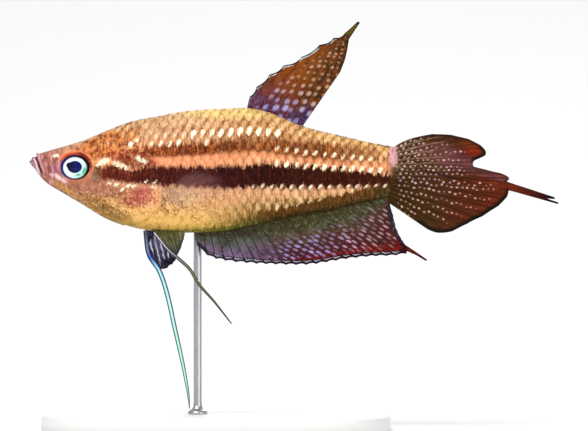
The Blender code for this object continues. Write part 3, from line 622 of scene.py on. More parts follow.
def bodyColour(paint, s, h):
    # the body's colour at s and h, masks of its dark bands and of its main stripe, and the noises they share
    coarse = paint.place.shake(0.9, 3.0)
    fine = paint.place.shake(4.2, 2.0)
    speck = paint.place.shake(11.0, 1.0)
    calm = (s.step(13.6, 12.0) * h.step(-2.0, -3.0)).most(
        s.step(7.4, 6.4), (h + 6.0).step(0.4, -0.8) * s.step(19, 16),
        h.size().step(0.8, 0.4) * s.step(25, 21) * s.step(11.5, 13) * 0.8)
    streak = paint.place.stretch((6.0, 1.0, 1.3)).shake(1.0, 2.0) * (1 - calm * 0.8)
    speck = speck * (1 - calm * 0.6)
    column = (s - scales["first"]) * (1 / scales["apart"])
    tooth = column.fromWhole().size() - 0.25    # -0.25 on a scale's middle, 0.25 between two
    sRough = s + coarse * 4
    sJagged = s + fine * 0.5
    hShaken = h + coarse * 0.5
    hJagged = hShaken + streak * 0.9
    rows = fish["stations"][:1] + fish["stations"][2:]
    back, belly = [s.bend([(row[0], row[i]) for row in rows] + [(fish["reach"], end)])
                   for i, end in ((1, 1.5), (2, -3.5))]
    level = (hShaken + streak * 0.5 - belly) / (back - belly)
    front, rear = [level.ramp(*markings[name]) for name in ("frontBelly", "rearBelly")]
    foot = (h - belly + coarse * 0.4 + streak * 0.5 - tooth * 0.9) - s.over(20, 30) * 0.3
    base = foot.step(1.25, 1.0) * sRough.step(20.0, 25.5)
    hDab = hShaken + fine * 0.4
    colour = (s + coarse * 3.0).step(16.5, 24.0).pick(front, rear).coats(
        (base * 0.95, (h - belly + fine * 0.3).step(0.0, 0.9).pick((17, 15, 4), (34, 19, 3))),
        (foot.step(0.7, 0.3) * s.step(11.0, 15.0) * s.step(26.0, 20.0) * 0.8, (34, 38, 10)),
        *[(dab(sJagged, hDab, *shape) * strong, tone) for *shape, tone, strong in dabs])

    # the upper stripe
    upper = (hJagged - s.bend(markings["upperBottom"])).step(-0.3, 0.3)
    upper = upper * (hJagged - s.bend(markings["upperTop"])).step(0.4, -0.4)
    upper = upper * s.step(8.6, 11.5) * sRough.step(37.5, 31.0)
    patchy = streak * 0.7 + fine * 0.7 + coarse * 0.8
    brown = (s + coarse * 6).over(10, 30).ramp((0, 56, 20, 5), (30, 40, 14, 3), (100, 48, 24, 6)).coats(
        (patchy.step(0.02, 0.26) * 0.7, (74, 39, 13)),
        (patchy.step(-0.02, -0.22) * 0.75, (25, 8, 2)))

    # the main stripe, toothed by the scales behind the head
    hJagged = hJagged + tooth * s.step(11.0, 14.0) * 0.6
    main = (hJagged + tooth * s.step(19.0, 24.0) * 0.5 - s.bend(markings["stripeBottom"])).step(-0.3, 0.3)
    main = main * (hJagged + streak * 0.4 + fine * 0.5 - s.bend(markings["stripeTop"])).step(0.25, -0.25)
    main = main * sJagged.step(6.9, 7.7)
    haze = (h + coarse * 0.9 + streak * 1.1).step(-1.1, -2.1) * (s + coarse).step(14.4, 16.4)
    haze = haze * (s + coarse * 2).step(20.5, 17.0)
    maroon = (s + coarse * 1.5).over(7, 38).ramp(
        (0, 36, 14, 7), (15, 28, 7, 4), (24, 28, 9, 7), (31, 26, 9, 10), (41, 20, 5, 5), (55, 17, 4, 2),
        (100, 22, 7, 1)).coats(
        ((streak + fine * 0.6).step(0.02, 0.24) * s.step(19.0, 26.0) * 0.6, (38, 15, 6)),
        (patchy.step(0.02, 0.3) * s.step(24.0, 11.0) * 0.6, (50, 18, 11)),
        (patchy.step(-0.02, -0.28) * s.step(26.0, 12.0) * 0.7, (13, 3, 2)),
        (haze * (0.7 + fine), (41, 23, 24)))

    # the throat, the ridge of the back, the tail's root and the soiling over the back
    under = (h - belly + coarse * 0.4).step(0.3, 0.0) * s.step(0.6, 1.5) * s.step(11.5, 8.0)
    ridge = (back - h + fine * 0.1).step(0.24, 0.06)
    tail = s + fine * 0.5 - (h + 1.0) * 0.05
    stock = h.over(-4, 2).ramp((0, 26, 22, 6), (40, 26, 13, 4), (62, 34, 22, 8), (100, 40, 28, 12))
    pink = dab(s + fine * 0.4, h + fine * 0.4, (37.6, 0.72), (0.55, 1.15), 0.0, 0.5)
    soil = paint.place.shake(2.0, 3.0) + streak * 0.5
    above = (h - 1.5 + coarse).step(0.0, 1.5) * s.step(9.5, 13.0)
    soiled = above * ((back - h).step(0.2, 1.6) * 0.7 + 0.3)
    colour = colour.coats(
        (upper * (streak * 0.4 + 1.0), brown),
        (main, maroon),
        (under * 0.7, (36, 32, 16)),
        (ridge * s.step(25.0, 29.0) * 0.75, (16, 14, 12)),
        (ridge * s.step(9.0, 4.0) * 0.6, (36, 30, 26)),
        (tail.step(36.9, 37.5) * 0.9, stock),
        (pink * 0.85, (84, 64, 68)),
        (soil.step(-0.02, 0.16) * soiled * 0.78, (58, 31, 15)),
        (soil.step(-0.04, -0.22) * above * 0.45, (98, 84, 66)))
    return colour, main.most(upper * 0.9, base * 0.95), main, coarse, fine, speck, streak


def paintedFleckSheen(s, h, fine):
    # the greatest of the flecks' masks, which carry the painted sheen
    first, *others = [dab(s + fine * 0.8, h + fine * 0.7, *fleck, 0.5) for fleck in sheenFlecks]
    return first.most(*others)


def nearEllipse(s, h, centre, radii=(1, 1)):
    # the distance from the centre, 1 on the ellipse
    return np.hypot((s - centre[0]) / radii[0], (h - centre[1]) / radii[1])


def headRelief(s, y, h, angle):
    # how far the skin stands out from the plain body: a sum of bells round the head's features
    crease = skin["crease"]
    along, across, long = mouthAcross(s, h)
    inMouth = smoothStep(along, -0.6, -0.2) * smoothStep(along, long + 0.25, long - 0.1)
    lips = bell(np.abs(across) - skin["lipApart"], skin["lipWide"]) * skin["lipProud"]
    out = inMouth * (lips - bell(across, skin["slitWide"]) * skin["slitDeep"])
    fold = bell(np.abs(across) - skin["foldApart"], 0.1) * crease * smoothStep(along, -0.2, 0.4)
    out = out - fold * smoothStep(along, long + 0.9, long)
    for centre, wide, deep, rim, rimWide in skin["nostrils"]:
        away = nearEllipse(s, h, centre)
        out = out - bell(away, wide) * deep + bell(away - rim, rimWide) * crease
    away = nearEllipse(s, h, eye["centre"], eye["radii"])
    out = out - smoothStep(away, 1.03, 0.92) * skin["orbitDeep"]
    out = out + bell(away - 1.12, 0.09) * skin["orbitRim"] - bell(away - 1.36, 0.1) * crease
    ahead = gillLine(angle) - s
    low = smoothStep(h, 2.2, 0.6)
    out = out + low * smoothStep(ahead, 0.0, 0.1) * smoothStep(ahead, 5.5, 1.5) * skin["coverProud"]
    out = out - low * bell(ahead + 0.12, 0.1) * skin["coverSlit"]
    for centre, radii, wide, deep, endS, endH in skin["coverArcs"]:
        arc = nearEllipse(s, h, centre, radii) - 1
        out = out - bell(arc, wide) * deep * smoothStep(s, *endS) * smoothStep(h, *endH)
    startS, startH, slope = skin["jawLine"]
    jaw = h - (startH + slope * (s - startS))
    out = out - bell(jaw, 0.1) * crease * smoothStep(s, startS, 2.2) * smoothStep(s, 8.5, 6.5)
    under = smoothStep(h - outline(s)[1], 0.6, 0.2) * smoothStep(s, 2.2, 3.2) * smoothStep(s, 10.5, 8.5)
    return out - under * bell(y, skin["throatWide"]) * 0.12


def makeSkin():
    # P(s, angle) = body + normal (relief - inset), closed by a point at the snout and one at the tail
    share = np.linspace(0, 1, skin["rings"] + 1)[1:]
    s, angle = np.meshgrid(smoothLine(skin["ringKnots"], share)[0], turns(skin["sides"]), indexing="ij")
    point, normal = bodyPoint(s, angle)
    out = headRelief(s, point[..., 1], point[..., 2], angle) - skin["inset"]
    jaw = smoothStep(mouthAcross(s, point[..., 2])[1], 0.05, -0.1) * smoothStep(s, 1.3, 0.9)
    point = point + normal * out[..., None]
    point[..., 2] -= jaw * np.maximum(point[..., 2] - skin["jawTop"], 0)
    point[..., 1] *= 1 - skin["narrow"] * smoothStep(s, 36.8, fish["length"])
    tail = point[-1:]
    hub = tail.mean(axis=1, keepdims=True) + np.array([skin["tailOut"], 0, 0])
    ends = [hub + (tail - hub) * k + np.array([0.25 * (1 - k), 0, 0]) for k in skin["tailRings"]]
    piece = putTube("body_skin", np.concatenate([point] + ends), skin["nose"], hub.ravel())
    covers = ("gill_cover_left", "gill_cover_right")
    dress(piece, bodyMaterial("fish skin", False), "skin", "head", "torso", "tail", *covers)


# The scales: one grid of rounded vanes for each flank.
scales = {
    "first": 25.38,          # s of the middle of one scale of row 0
    "apart": 0.965,          # from scale to scale along a row
    "pitches": ((6, 0.72), (14, 0.80), (22, 0.80), (25.4, 0.78), (30, 0.68), (34, 0.60), (39, 0.52)),
    "rowZero": -0.15,        # where row 0 lies above the widest level, along the surface
    "between": (7.6, 36.9),  # s of the foremost and the rearmost
    "behindGill": 0.55,      # where the coat starts, and how much further forward on the nape
    "napeAhead": 1.9,
    "long": 1.9,             # length and height of a vane, in scales
    "high": 2.3,
    "rounding": 0.42,        # how far a vane's rear edge draws in at its sides
    "middle": 0.62,          # the part of a vane that lies on its scale's place
    "jitter": 0.012,
    "rootDeep": 0.05,
    "rearProud": 0.05,
    "thick": 0.02,
    "along": 7,
    "across": 9,
    "seeds": {-1: 7, 1: 8},
    "sheet": (40, 24),       # millimetres of the unwrapped flank
}


def flankTable():
    # the section's angle at even steps of arc length up from the widest level, along the body
    s = np.linspace(4.0, 38.4, 345)
    angle = np.linspace(-0.4 * np.pi, 1.4 * np.pi, 1081)
    y, h = section(np.minimum(s, fish["length"])[:, None], angle[None, :])
    arc = np.concatenate([np.zeros((len(s), 1)), np.cumsum(np.hypot(np.diff(y), np.diff(h)), axis=1)], axis=1)
    up = arc[:, np.abs(angle - np.pi / 2).argmin()][:, None] - arc
    level = np.linspace(-10, 10, 801)
    return s, level, np.stack([np.interp(level, row[::-1], angle[::-1]) for row in up])


def angleAt(table, s, up):
    # the section's angle at s, up millimetres above the widest level along the surface
    knots, levels, turned = table
    i, j = [np.clip((value - line[0]) / (line[1] - line[0]), 0, len(line) - 1.001)
            for value, line in ((s, knots), (up, levels))]
    i0, j0 = i.astype(int), j.astype(int)
    a, b = i - i0, j - j0
    low = turned[i0, j0] * (1 - b) + turned[i0, j0 + 1] * b
    high = turned[i0 + 1, j0] * (1 - b) + turned[i0 + 1, j0 + 1] * b
    return low * (1 - a) + high * a


def scalePitch(s):
    # from row to row, at s
    return smoothLine(scales["pitches"], np.clip(s, 6, 39))[0]


def scalePlaces(table):
    # (s, row, h) of a flank's scales: odd rows stand half a scale back, and the coat starts at the gill line
    rows, columns = np.meshgrid(np.arange(-13, 14), np.arange(-20, 16), indexing="ij")
    s = (scales["first"] + (columns + 0.5 * (rows % 2)) * scales["apart"]).ravel()
    rows = rows.ravel()
    keep = (s > scales["between"][0]) & (s < scales["between"][1])
    rows, s = rows[keep], s[keep]
    angle = angleAt(table, s, scales["rowZero"] + rows * scalePitch(s))
    h = section(s, angle)[1]
    front = gillLine(angle) + scales["behindGill"] - scales["napeAhead"] * smoothStep(h, 0.8, 2.6)
    keep = (angle > -0.03) & (angle < np.pi + 0.03) & (s > front)
    return s[keep], rows[keep], h[keep]


def paintedGleamOf(s, h):
    # how white each scale's painted gleam is, how tall its streak and how far up the vane, from the nearest
    # gleaming row
    paintedGleam, tall, lift = np.zeros_like(s), np.full_like(s, 0.3), np.zeros_like(s)
    for ((s0, h0), (s1, h1)), bright, height in paintedGleamRows:
        line = h0 + (h1 - h0) * (s - s0) / (s1 - s0)
        near = (np.abs(h - line) < scalePitch(s) * 0.5) & (s > s0 - 0.45) & (s < s1 + 0.45)
        paintedGleam[near] = bright
        tall[near] = height
        lift[near] = ((line - h) / (scalePitch(s) * scales["high"] / 2))[near]
    return paintedGleam, tall, np.clip(lift, -0.4, 0.4)


def makeScales(side, name):
    # vane(p, q): s runs back from root to a rounded rear edge, the row's height spreads with q, and the
    # vane lifts from under the skin to the body's full form
    table = flankTable()
    s0, row, h0 = scalePlaces(table)
    rng = np.random.default_rng(scales["seeds"][side])
    count = len(s0)
    p = np.linspace(0, 1, scales["along"])[:, None]
    q = np.linspace(-1, 1, scales["across"])[None, :]
    back = p * (1 - scales["rounding"] * q**2)
    wide = q * (0.62 + 0.38 * np.sin(np.pi * (0.15 + 0.6 * p)))
    long = scales["long"] * scales["apart"]
    s = s0[:, None, None] + long * (back - scales["middle"]) + rng.normal(0, scales["jitter"], (count, 1, 1))
    s = np.clip(s, 4.5, 38.25)
    up = scales["rowZero"] + (row[:, None, None] + wide * scales["high"] / 2) * scalePitch(s)
    above = smoothStep(h0 - outline(s0)[1], 0.7, 2.2)
    proud = scales["rearProud"] * (0.5 + 0.5 * smoothStep(s0, 14, 25)) * (0.25 + 0.75 * above)
    rise = (proud[:, None, None] + scales["rootDeep"]) * back**0.9 - 0.014 * q**2
    lift = -scales["rootDeep"] + rise - skin["inset"] + 0 * s
    point, normal = bodyPoint(s, angleAt(table, s, up))
    faces = [point + normal * (lift - thick)[..., None] for thick in (0, scales["thick"])]
    points = np.stack(faces, axis=1).reshape(-1, 3)
    points[:, 1] *= side
    size = scales["along"] * scales["across"]
    quads = plateFaces(scales["along"], scales["across"])
    quads = (quads[None] + (np.arange(count) * 2 * size)[:, None, None]).reshape(-1, 4)
    piece = putMesh(name, points, quads)
    local = flatten(back, 0.5 + 0.5 * q)
    pointUv(piece, "UVMap", np.tile(local, (count * 2, 1)))
    # each scale's patch lies at its own place on an unwrap of the flank, s across and arc length up
    wideSheet, highSheet = scales["sheet"]
    patch = (local - 0.5) * (0.92 * scales["apart"] / wideSheet, 0.46 / highSheet)
    home = np.stack([s0 / wideSheet, 0.5 + (scales["rowZero"] + row * 0.52) / highSheet], axis=-1)
    pointUv(piece, "OFBake", (home[:, None, None] + patch + np.zeros((1, 2, 1, 1))).reshape(-1, 2))
    each = np.stack([s0, h0, rng.random(count)], axis=1)
    pointValues(piece, "scaleFacts", np.repeat(each, 2 * size, axis=0))
    paintedGleam, tall, lift = paintedGleamOf(s0, h0)
    paintedGleam *= 0.6 + 0.4 * rng.random(count)
    tall *= 0.75 + 0.4 * rng.random(count)
    each = np.stack([paintedGleam, tall, lift], axis=1)
    pointValues(piece, "scaleGleam", np.repeat(each, 2 * size, axis=0))
    dress(piece, scaleMaterial, "skin")


def bodyMaterial(name, scaled):
    # skin and scales take one set of markings; a scale adds its own pale middle, a dark rim that is partly
    # painted shade, and a gleam that is a painted reflection
    paint = Paint(name)
    s, h = paint.s, paint.h
    if scaled:
        s0, h0, shade = paint.facts("scaleFacts")
        paintedGleam, tall, lift = paint.facts("scaleGleam")
        other = (shade * 7.31).maths("FRACT")
        snap = s.step(19.0, 27.0) * 0.18 + 0.1
        s = s * 0.6 + s0 * 0.4
        h = h + (h0 - h) * snap
    colour, deep, main, coarse, fine, speck, streak = bodyColour(paint, s, h)
    if scaled:
        p, q = paint.uv()
        q = q * 2 - 1
        rough = streak * 0.7 + fine * 0.4
        strong = paint.s.bend(((0, 0.25), (13, 0.3), (20, 0.45), (26, 0.85), (38, 0.9), (56, 0.9)), 0, 1)
        strong = strong.most((h0 + coarse).step(1.2, 2.6) * 0.8) * (h0 + coarse).step(-6.6, -5.0)
        # the dark rim along each scale's rear edge and sides: partly the scale's own dark edge, partly
        # painted shade where it laps over the next scale
        edge = (p + fine * 0.15 + q * q * 0.05).step(0.84, 0.98).most(q.size().step(0.5, 0.95) * 0.45)
        dark = edge * strong * (0.45 * shade + 0.45) * (1 - deep * 0.9) * (rough * 2.2 + 0.8)
        middle = (p - h0.step(0.8, 1.2) * q * 0.14 + rough * 0.3 - 0.74).size().step(0.2, 0.03)
        middle = middle * (q + rough).size().step(0.85, 0.25)
        light = middle * strong * (0.5 * shade + 0.3) * (1 - deep * 0.95) * (1 - main)
        # the gleam: a streak of white reflection painted into the colour, with a fainter painted glow round
        # it
        across = (p - q * 0.22 + rough * 0.2 - 0.75) / (tall * 0.2 + 0.03)
        along = (q - lift + rough * 0.6 + (other - 0.5) * 0.2) / (tall * 1.2)
        away = across * across + along * along - streak * 2.6 - speck * 1.6
        paintedFlash = away.step(1.25, 0.35) * (paintedGleam + fine * 0.5 * paintedGleam)
        # the rim's painted shade, the pale middle, a tint of each scale's own, and the gleam's painted glow
        # and reflection
        colour = colour.coats(
            (dark, (46, 20, 9), "MULTIPLY"),
            (light, (99, 84, 64)),
            (((other - 0.5) * 0.4 + 0.15) * (1 - deep * 0.95), (60, 36, 20), "MULTIPLY"),
            (away.step(2.4, 0.9) * paintedGleam * 0.5, (98, 80, 56)),
            (paintedFlash, (100, 97, 88)))
    else:
        colour = headColour(paint, s, h, colour, main, coarse, fine, speck)
        # the white flecks: iridescent skin, its white a painted sheen
        paintedFlash = paintedFleckSheen(s, h, fine + speck * 0.9) * (streak * 1.5 + 0.95)
        colour = paintedFlash.pick(colour, (96, 90, 78))
    loose = paint.s.step(23.0, 17.0) * paint.h.step(-2.6, -3.4)
    smooth = paint.s.step(18.0, 15.0) * paint.h.step(-5.0, -6.0)
    grain = streak * (0.9 - loose * 0.6) + speck * (0.6 - loose * 0.45) + fine * (loose * 0.9 + 0.3)
    grain = (grain + coarse * loose * 0.4) * (1 - smooth * 0.5)
    plain = (1 - paintedFlash) * (1 - deep * 0.85) * (1 - main * 0.9)
    colour = colour.coats(
        (grain.step(0.02, 0.26) * 0.5 * plain, (99, 80, 58)),
        (grain.step(-0.02, -0.26) * 0.7 * (1 - paintedFlash * 0.7), (52, 28, 15), "MULTIPLY"))
    paint.set(Base_Color=colour, Roughness=fine * 0.2 + 0.45 - paintedFlash * 0.15, Metallic=paintedFlash * 0.2)
    paint.set(Specular_IOR_Level=0.04, Coat_Weight=0.03, Coat_Roughness=0.2)
    paint.bump(coarse * 0.5 + fine * 0.35 + speck * 0.2, 0.00008, 0.5)
    return paint.material


scaleMaterial = bodyMaterial("fish scales", True)
makeSkin()
print("skin made")
makeScales(-1, "scales_left")
makeScales(1, "scales_right")
print("scales made")


# The eyes: a domed button in its socket, painted in rings on its own plan.
def eyeMaterial():
    paint = Paint("eye")
    u, v = paint.uv()
    x = (u - 0.5) * (2 * eye["radii"][0])
    z = (v - 0.5) * (2 * eye["radii"][1])
    fine = paint.place.shake(3.0, 2.0)
    pupil = dab(x, z, (0.07, 0.06), (0.76, 0.63), 0.05, 0.12)
    pupil = pupil.most(dab(x, z, (-0.42, 0.2), (0.42, 0.34), -0.2, 0.3))
    pupil = (pupil + fine * 0.15).step(0.4, 0.6) * (x * 0.6 + z + 0.72).step(0.0, 0.08)
    iris = dab(x + fine * 0.06, z + fine * 0.06, (0.05, -0.03), (1.24, 1.08), 0.0, 0.1)
    side = (x * 0.55 - z * 0.45 + fine * 0.5).step(0.1, 1.0)
    green = dab(x, z, (0.42, -0.74), (0.26, 0.13), 0.2,
                0.6).most(dab(x, z, (1.1, -0.35), (0.25, 0.4), -0.4, 0.7))
    pale = side.pick((86, 92, 94), (60, 86, 76)).coats(
        ((fine + x * 0.1).step(0.05, 0.3) * 0.35, (60, 82, 84)),
        (green * 0.75, (25, 62, 50)))
    rim = x.step(-0.6, 0.8).pick((8, 8, 34), (2, 6, 5))
    colour = rim.coats((iris, pale), (pupil, x.step(-0.7, 0.3).pick((1, 1, 6), (2, 3, 34))))
    paint.set(Base_Color=colour, Roughness=0.35, Specular_IOR_Level=0.1, Coat_Weight=0.2, Coat_Roughness=0.04)
    return paint.material


def makeEye(side, name, material):
    # turned button: radius sin a and height cos a over the front, then a wall in to a closed back
    a = np.linspace(0, np.pi / 2, eye["rings"])[1:]
    radius = np.concatenate([np.sin(a), [0.98, 0.9]])[:, None]
    out = np.concatenate([eye["dome"] * np.cos(a) ** 1.15, [-0.3, -eye["deep"]]])[:, None]
    turn = turns(eye["sides"])
    flat = flatten(eye["radii"][0] * radius * np.cos(turn), eye["radii"][1] * radius * np.sin(turn), out)
    flat = np.concatenate([flat, [[0, 0, eye["dome"]], [0, 0, -eye["deep"]]]])
    across, up, out = flat.T
    cos, sin = np.cos(eye["turn"]), np.sin(eye["turn"])
    s = eye["centre"][0] + across * cos - out * sin
    y = side * (eye["level"] + out * cos + across * sin)
    points = np.stack([s, y, eye["centre"][1] + up], axis=1)
    piece = putTube(name + "_ball", points[:-2].reshape(-1, eye["sides"], 3), *points[-2:])
    pointUv(piece, "UVMap", 0.5 + flat[:, :2] / (2 * np.array(eye["radii"])))
    dress(piece, material, "eyes", name)


eyeFinish = eyeMaterial()
makeEye(-1, "eye_left", eyeFinish)
makeEye(1, "eye_right", eyeFinish)
print("eyes made")


# Fins: thin closed sheets whose rays stand out as ridges and branch towards the margin.
finForm = {
    "wave": 0.22,
    "membrane": 0.11,
    "ridge": 0.085,          # how far a ray stands out at its root, on each face
    "rayWide": 0.13,         # as a share of the space between rays
    "split": 0.23,           # how far a ray's two branches part, in the same share
    "splitFrom": 0.42,       # where they do, as a share of the ray
    "edge": 0.05,
}


def finWave(u, length):
    # 0.22 sin(2.2 pi u + 0.6) (length / 5)^1.5
    return finForm["wave"] * np.sin(2.2 * np.pi * u + 0.6) * np.clip(length / 5, 0, 1.2) ** 1.5


def finMargin(form, r):
    # (s, h) of the margin at ray number r: a smooth line through each group, with corners between them
    margin = np.zeros((2, len(r)))
    corner = ()
    for group in form["margin"]:
        group = corner + group
        corner = group[-1:]
        inside = (r >= group[0][0] - 1e-9) & (r <= group[-1][0] + 1e-9)
        margin[:, inside] = smoothLine(group, r[inside])
    return margin


def nearest(points, targets):
    return np.hypot(*(points[:, None] - targets[None]).transpose(2, 0, 1)).min(axis=1)


def makeFin(name, form, root, rise, material, slot, *nodes):
    # P(u, v) = root(u) + (tip(u) - root(u)) v, less scallops between the rays at the margin
    rays, per, rows = form["rays"], form["per"], form["rows"]
    columns = (rays - 1) * per + 1
    u = np.linspace(0, 1, columns)
    r = u * (rays - 1)
    v = np.linspace(0, 1, rows + 1)[:, None]
    rootS, rootH = root(u)
    tipS, tipH = finMargin(form, r)
    part = r - np.floor(r)
    length = np.hypot(tipS - rootS, tipH - rootH)
    early, late = form.get("scallop", (1.0, 1.0))
    sag = (part / early) ** early * ((1 - part) / late) ** late * (early + late) ** (early + late)
    low, high = form.get("even", (0, 0))
    sag = np.where((r > low) & (r < high), 0, sag)
    reach = v * (1 - form["notch"] * sag / length)
    s = between(rootS, tipS, reach)
    h = between(rootH, tipH, reach) + form.get("bow", 0.0) * np.sin(np.pi * v**0.7) * (1 - u) ** 3
    start, slope = form.get("droop", (99.0, 0.0))
    h = h - slope * np.maximum(s - start, 0)
    y = rise(u + 0 * v, length * reach)
    branched = smoothStep(r, form["spines"] - 0.5, form["spines"] + 0.5)
    split = finForm["split"] * smoothStep(v, finForm["splitFrom"], 1.0) * branched
    signed = r - np.round(r)
    wide = finForm["rayWide"] * (1 - 0.35 * v)
    ridge = 0.5 * (bell(signed - split, wide) + bell(signed + split, wide))
    ridge = ridge * finForm["ridge"] * (1 - 0.65 * v) * form.get("strong", 1.0)
    thick = form.get("rootThick", 0.0) * (1 - smoothStep(v, 0.0, 0.22)) / 2 * np.sin(np.pi * u) ** 0.5
    half = finForm["membrane"] / 2 * (1 - 0.4 * v) + ridge + thick
    half = between(half, finForm["edge"] / 2, smoothStep(v, 0.9, 1.0))
    points = np.concatenate([flatten(s, y - half, h), flatten(s, y + half, h)])
    piece = putMesh(name, points, plateFaces(rows + 1, columns))
    across = np.gradient(np.stack([s, h]), axis=2) * per
    down = np.stack([tipS - rootS, tipH - rootH]) / length
    spread = np.abs(across[0] * down[1] - across[1] * down[0])
    pointValues(piece, "finPlace", np.tile(flatten(r, length * reach, spread), (2, 1)))
    here = flatten(s, h)
    toMargin = nearest(here, flatten(s[-1], h[-1]))
    toSides = nearest(here, flatten(s[:, [0, -1]], h[:, [0, -1]]))
    facts = np.stack([toMargin, toSides, np.broadcast_to(v, s.shape).ravel()], axis=1)
    pointValues(piece, "finFacts", np.tile(facts, (2, 1)))
    dress(piece, material, slot, *nodes)


class FinPaint(Paint):
    # a fin's material, with its ray number, distances and noises at hand

    def __init__(self, name, spines):
        super().__init__(name)
        self.r, self.d, self.wide = self.facts("finPlace")
        self.toMargin, self.toSide, self.up = self.facts("finFacts")
        self.coarse = self.place.shake(0.9, 3.0)
        self.fine = self.place.shake(4.0, 2.0)
        self.speck = self.place.shake(12.0, 1.0)
        self.grain = (self.r * 4.5).pair(self.d * 0.7).shake(1.0, 2.0)
        signed = self.r.fromWhole()
        split = self.up.step(finForm["splitFrom"], 1.0) * finForm["split"]
        split = split * self.r.step(spines - 0.5, spines + 0.5)
        near = (signed - split).size().least((signed + split).size())
        self.rays = (near * self.wide).step(0.12, 0.03)

    def chance(self, column, row):
        # three random numbers of a cell's own
        sockets = {"Vector": column.pair(row)}
        return self.wire.node("ShaderNodeTexWhiteNoise", {"noise_dimensions": "2D"}, sockets, "Color").parts()

    def spots(self, apart, turn, long, tall, shake):
        # ovals in a chain down the middle of each membrane, and a number of each one's own from 0 to 1
        column = self.r.floor()
        along = self.d * (1 / apart) + column * turn
        row = along.floor()
        first, second, third = self.chance(column, row)
        x = (along - row - 0.5 + (first - 0.5) * shake) * apart / long
        z = (self.r - column - 0.5 + (second - 0.5) * shake) * self.wide / tall
        away = (x * x + z * z) / (third * 0.5 + 0.62)
        return (away + self.fine * 1.1 + self.speck * 0.6).step(1.3, 0.5), third

    def lattice(self, a, b, apart, radii, tilt, shake):
        # ovals on a staggered lattice of the fin's side view: a and b in mm, apart and radii in mm
        b = b / apart[1]
        row = b.floor()
        a = a / apart[0] + row.maths("FLOORED_MODULO", row, 2.0) * 0.5
        column = a.floor()
        first, second, third = self.chance(column, row)
        x = (a - column - 0.5 + (first - 0.5) * shake) * apart[0]
        z = (b - row - 0.5 + (second - 0.5) * shake) * apart[1]
        away = oval(x, z, radii, tilt) / (third * 0.8 + 0.5)
        return (away + self.fine * 2.0 + self.speck * 1.2).step(1.5, 0.3), third

    def close(self, colour, rough=0.45):
        self.set(Base_Color=colour, Roughness=self.fine * 0.2 + rough)
        self.set(Specular_IOR_Level=0.04, Coat_Weight=0.02, Coat_Roughness=0.2)
        self.bump(self.fine + self.rays * 0.8, 0.00005, 0.6)
        return self.material


# The groups of (ray, s, h) in a margin each go on from the last corner. Between the even rays it is smooth.
dorsal = {
    "root": (22.4, 28.05),
    "sunk": -0.35,           # how deep the root lies in the body
    "rays": 10,
    "per": 16,
    "rows": 80,
    "spines": 3,
    "notch": 0.36,
    "scallop": (1.3, 0.5),
    "even": (7, 9),
    "margin": (
        ((0, 22.75, 6.75), (1, 23.45, 7.75), (2, 24.75, 9.0), (3, 26.2, 9.95), (4, 28.1, 10.85),
         (5, 29.9, 12.05), (6, 31.4, 12.8), (7, 32.6, 13.34)),
        ((7.1875, 33.08, 13.74), (7.375, 33.7, 14.33), (7.4375, 33.93, 14.52)),
        ((7.5, 34.13, 14.38),),
        ((7.5625, 33.75, 13.9), (7.6875, 33.32, 13.36), (7.8125, 33.06, 12.9), (8, 32.9, 12.0),
         (8.5, 32.62, 10.7), (9, 32.1, 9.3)),
    ),
}
anal = {
    "root": (17.15, 37.1),
    "sunk": 0.35,
    "rays": 29,
    "per": 9,
    "rows": 60,
    "spines": 6,
    "notch": 0.17,
    "scallop": (1.2, 0.7),
    "even": (21, 22),
    "margin": (
        ((0, 17.3, -8.6), (1, 18.3, -9.6), (3, 20.2, -10.2), (5, 22.4, -10.45), (8, 25.4, -10.6),
         (11.4, 29.0, -10.6), (15.3, 33.0, -10.0), (17.8, 35.6, -9.75), (19.75, 37.6, -9.68),
         (21, 38.9, -9.5)),
        ((190 / 9, 39.0, -9.22), (191 / 9, 39.95, -9.64), (192 / 9, 40.96, -10.24)),
        ((193 / 9, 41.1, -10.1),),
        ((194 / 9, 40.05, -9.36), (195 / 9, 39.05, -8.85)),
        ((22.5, 38.8, -8.45), (24, 38.42, -7.9), (25.5, 37.94, -6.9), (27, 37.6, -5.6),
         (28, 37.3, -4.7)),
    ),
}
caudal = {
    "root": ((37.6, 1.45), (37.0, -4.15)),
    "rays": 17,
    "per": 12,
    "rows": 90,
    "spines": 0,
    "notch": 0.07,
    "even": (8, 10),
    "rootThick": 0.7,
    "bow": 0.32,
    "droop": (49.3, 0.17),      # where the thread bends down, and how steeply
    "margin": (
        ((0, 41.6, 2.9), (0.8, 43.2, 2.86), (1.6, 44.6, 2.6), (2.4, 45.8, 2.22), (3.2, 46.85, 1.55),
         (3.7, 47.2, 1.1), (4.0, 47.1, 0.7), (4.3, 46.55, 0.38), (4.7, 46.0, 0.12), (5.0, 45.82, -0.17),
         (5.2, 45.91, -0.46)),
        ((6.2, 47.5, -0.87), (7.3, 49.1, -1.3), (7.7, 49.58, -1.6), (8.0, 49.45, -1.88),
         (8.2, 49.23, -2.02)),
        ((8.3333, 51.86, -2.42), (8.4167, 54.24, -2.80)),
        ((8.5, 54.28, -2.99),), ((8.5833, 53.45, -3.06),), ((8.6667, 54.60, -3.27),), ((8.75, 54.64, -3.46),),
        ((8.95, 51.9, -3.1), (9.2, 49.5, -2.84)),
        ((9.7, 49.42, -3.3), (10.2, 49.2, -3.8), (10.9, 48.54, -4.46), (12, 46.85, -5.58),
         (13, 45.2, -6.4), (13.8, 43.97, -7.05), (14.6, 42.71, -7.36), (15.4, 41.4, -7.1),
         (16, 40.34, -6.43)),
    ),
}


